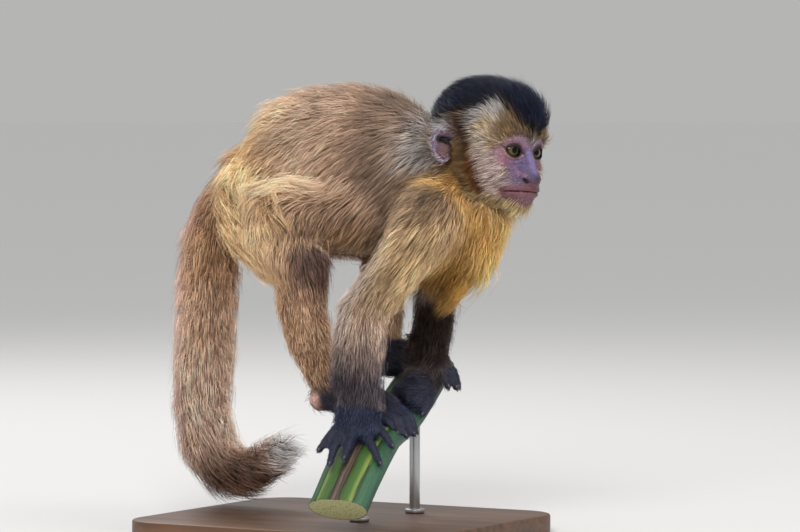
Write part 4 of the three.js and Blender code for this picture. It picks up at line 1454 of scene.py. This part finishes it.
class CapuchinCoat(bpy.types.PropertyGroup):
    fullness: FloatProperty(name="Fullness", description="How thickly the tufts stand", default=0.93, min=0.1)
    length: FloatProperty(name="Length", description="How long the hairs are", default=1.0, min=0.1)
    sway: FloatProperty(name="Sway", description="How far locks stray from the lie, in degrees", default=4.5)
    gather: FloatProperty(name="Gather", description="How far tufts draw together at the tips", default=0.32)
    lock_size: IntProperty(name="Lock size", description="Tufts in each lock", default=22, min=2)
    long_share: FloatProperty(name="Long tufts", description="Share of long tufts", default=0.55, min=0.05)
    short_share: FloatProperty(name="Short tufts", description="Share of short tufts", default=0.9, min=0.05)


class CapuchinEyes(bpy.types.PropertyGroup):
    iris: FloatProperty(name="Iris", description="Radius of the iris, in millimetres", default=5.3)
    pupil: FloatProperty(name="Pupil", description="Radius of the pupil, in millimetres", default=2.1)


class CapuchinNails(bpy.types.PropertyGroup):
    length: FloatProperty(name="Length", description="Length of a nail, in millimetres", default=6.4)
    width: FloatProperty(name="Width", description="Width of a nail, in millimetres", default=2.8)


class CapuchinStand(bpy.types.PropertyGroup):
    board_colour: FloatVectorProperty(
        name="Board",
        description="Colour of the wooden board",
        subtype="COLOR",
        default=tuple(linear("#6a4a34")),
    )


class CapuchinStage(bpy.types.PropertyGroup):
    lens: FloatProperty(name="Lens", description="Focal length of the camera, in millimetres", default=200.0)
    distance: FloatProperty(
        name="Distance",
        description="From the camera to its aim",
        default=3.333,
        unit="LENGTH",
        subtype="DISTANCE",
    )
    azimuth: FloatProperty(
        name="Azimuth",
        description="Turn of the camera round the monkey",
        default=math.radians(30),
        subtype="ANGLE",
    )
    elevation: FloatProperty(
        name="Elevation",
        description="Height of the camera as an angle",
        default=math.radians(2.5),
        subtype="ANGLE",
    )
    key: FloatProperty(name="Key lamp", description="Power of the main lamp", default=38.0, subtype="POWER")
    fill: FloatProperty(name="Fill lamp", description="Power of the side lamp", default=10.0, subtype="POWER")
    rim: FloatProperty(name="Back lamp", description="Power of the back lamp", default=18.0, subtype="POWER")
    sky: FloatProperty(name="Sky", description="Strength of the light from all round", default=0.85)


# ---------------------------------------------------------------- operators


def finish(obj, material, slot, *nodes):
    """Gives a piece its finish, its place on the body and the nodes it stands for."""
    obj.data.materials.clear()
    obj.data.materials.append(material)
    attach(obj, "root")
    if nodes:
        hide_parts(*nodes)


class CAPUCHIN_OT_skin(bpy.types.Operator):
    """Makes the monkey's one continuous skin, with its face and ears"""

    bl_idname = "capuchin.skin"
    bl_label = "Skin"

    def execute(self, context):
        body = body_shell(Flesh(), context.scene.capuchin_skin.voxel)
        union(body, head_shell(), *[ear_shell(side) for side in SIDES.values()])
        body.name = body.data.name = "skin"
        skin = Skin(body)
        paint_points(body, "skin_colour", skin_colours(skin, Growth(skin)))
        body.data.polygons.foreach_set("use_smooth", np.ones(len(body.data.polygons), bool))
        finish(body, skin_material(), "face_skin", *FACE, *BODY)
        return {"FINISHED"}


class CAPUCHIN_OT_coat(bpy.types.Operator):
    """Grows the tufts of the coat over the skin"""

    bl_idname = "capuchin.coat"
    bl_label = "Coat"

    def execute(self, context):
        skin = Skin(bpy.data.objects["skin"])
        growth, rng = Growth(skin), np.random.default_rng(context.scene.capuchin_skin.seed)
        material = hair_material()
        for name, (slot, parts) in COATS.items():
            finish(grow_coat(name, skin, growth, parts, context.scene.capuchin_coat, rng), material, slot)
        return {"FINISHED"}


class CAPUCHIN_OT_eyes(bpy.types.Operator):
    """Sets the two eyes in their sockets"""

    bl_idname = "capuchin.eyes"
    bl_label = "Eyes"

    def execute(self, context):
        eyes = context.scene.capuchin_eyes
        material = eye_material(eyes)
        for word in SIDES:
            finish(build_eye(word, eyes), material, "eye", f"eye_{word}")
        return {"FINISHED"}


class CAPUCHIN_OT_nails(bpy.types.Operator):
    """Puts a nail on every finger and toe"""

    bl_idname = "capuchin.nails"
    bl_label = "Nails"

    def execute(self, context):
        finish(build_nails(context.scene.capuchin_nails), nail_material(), "hand_skin")
        return {"FINISHED"}


class CAPUCHIN_OT_stalk(bpy.types.Operator):
    """Makes the cut stalk that the monkey grips"""

    bl_idname = "capuchin.stalk"
    bl_label = "Stalk"

    def execute(self, context):
        finish(build_stalk(), stalk_material(), "stalk", "perch_stem")
        return {"FINISHED"}


class CAPUCHIN_OT_stand(bpy.types.Operator):
    """Makes the display stand: a board and two rods"""

    bl_idname = "capuchin.stand"
    bl_label = "Stand"

    def execute(self, context):
        finish(build_base(), wood_material(context.scene.capuchin_stand), "base_wood", "stand_base")
        steel = steel_material()
        for number in (1, 2):
            finish(build_rod(number), steel, "rod_steel", f"stand_rod_{number}")
        return {"FINISHED"}


class CAPUCHIN_OT_stage(bpy.types.Operator):
    """Lays the floor and sets the lamps and the camera"""

    bl_idname = "capuchin.stage"
    bl_label = "Stage"

    def execute(self, context):
        build_stage(context.scene.capuchin_stage)
        return {"FINISHED"}


SETTINGS = {
    "capuchin_skin": CapuchinSkin,
    "capuchin_coat": CapuchinCoat,
    "capuchin_eyes": CapuchinEyes,
    "capuchin_nails": CapuchinNails,
    "capuchin_stand": CapuchinStand,
    "capuchin_stage": CapuchinStage,
}
OPERATORS = (
    CAPUCHIN_OT_skin,
    CAPUCHIN_OT_coat,
    CAPUCHIN_OT_eyes,
    CAPUCHIN_OT_nails,
    CAPUCHIN_OT_stalk,
    CAPUCHIN_OT_stand,
    CAPUCHIN_OT_stage,
)


class CAPUCHIN_PT_panel(bpy.types.Panel):
    """Lists the monkey's pieces and their settings"""

    bl_label = "Capuchin"
    bl_idname = "CAPUCHIN_PT_panel"
    bl_space_type = "VIEW_3D"
    bl_region_type = "UI"
    bl_category = "Capuchin"

    def draw(self, context):
        for operator in OPERATORS:
            self.layout.operator(operator.bl_idname)
        for name, group in SETTINGS.items():
            box = self.layout.box()
            for key in group.__annotations__:
                box.prop(getattr(context.scene, name), key)


CLASSES = (*SETTINGS.values(), *OPERATORS, CAPUCHIN_PT_panel)


def register():
    for cls in CLASSES:
        bpy.utils.register_class(cls)
    for name, group in SETTINGS.items():
        setattr(bpy.types.Scene, name, PointerProperty(type=group))


def unregister():
    for name in SETTINGS:
        delattr(bpy.types.Scene, name)
    for cls in reversed(CLASSES):
        bpy.utils.unregister_class(cls)


def main():
    register()
    for operator in OPERATORS:
        category, name = operator.bl_idname.split(".")
        getattr(getattr(bpy.ops, category), name)()


if __name__ == "__main__":
    main()
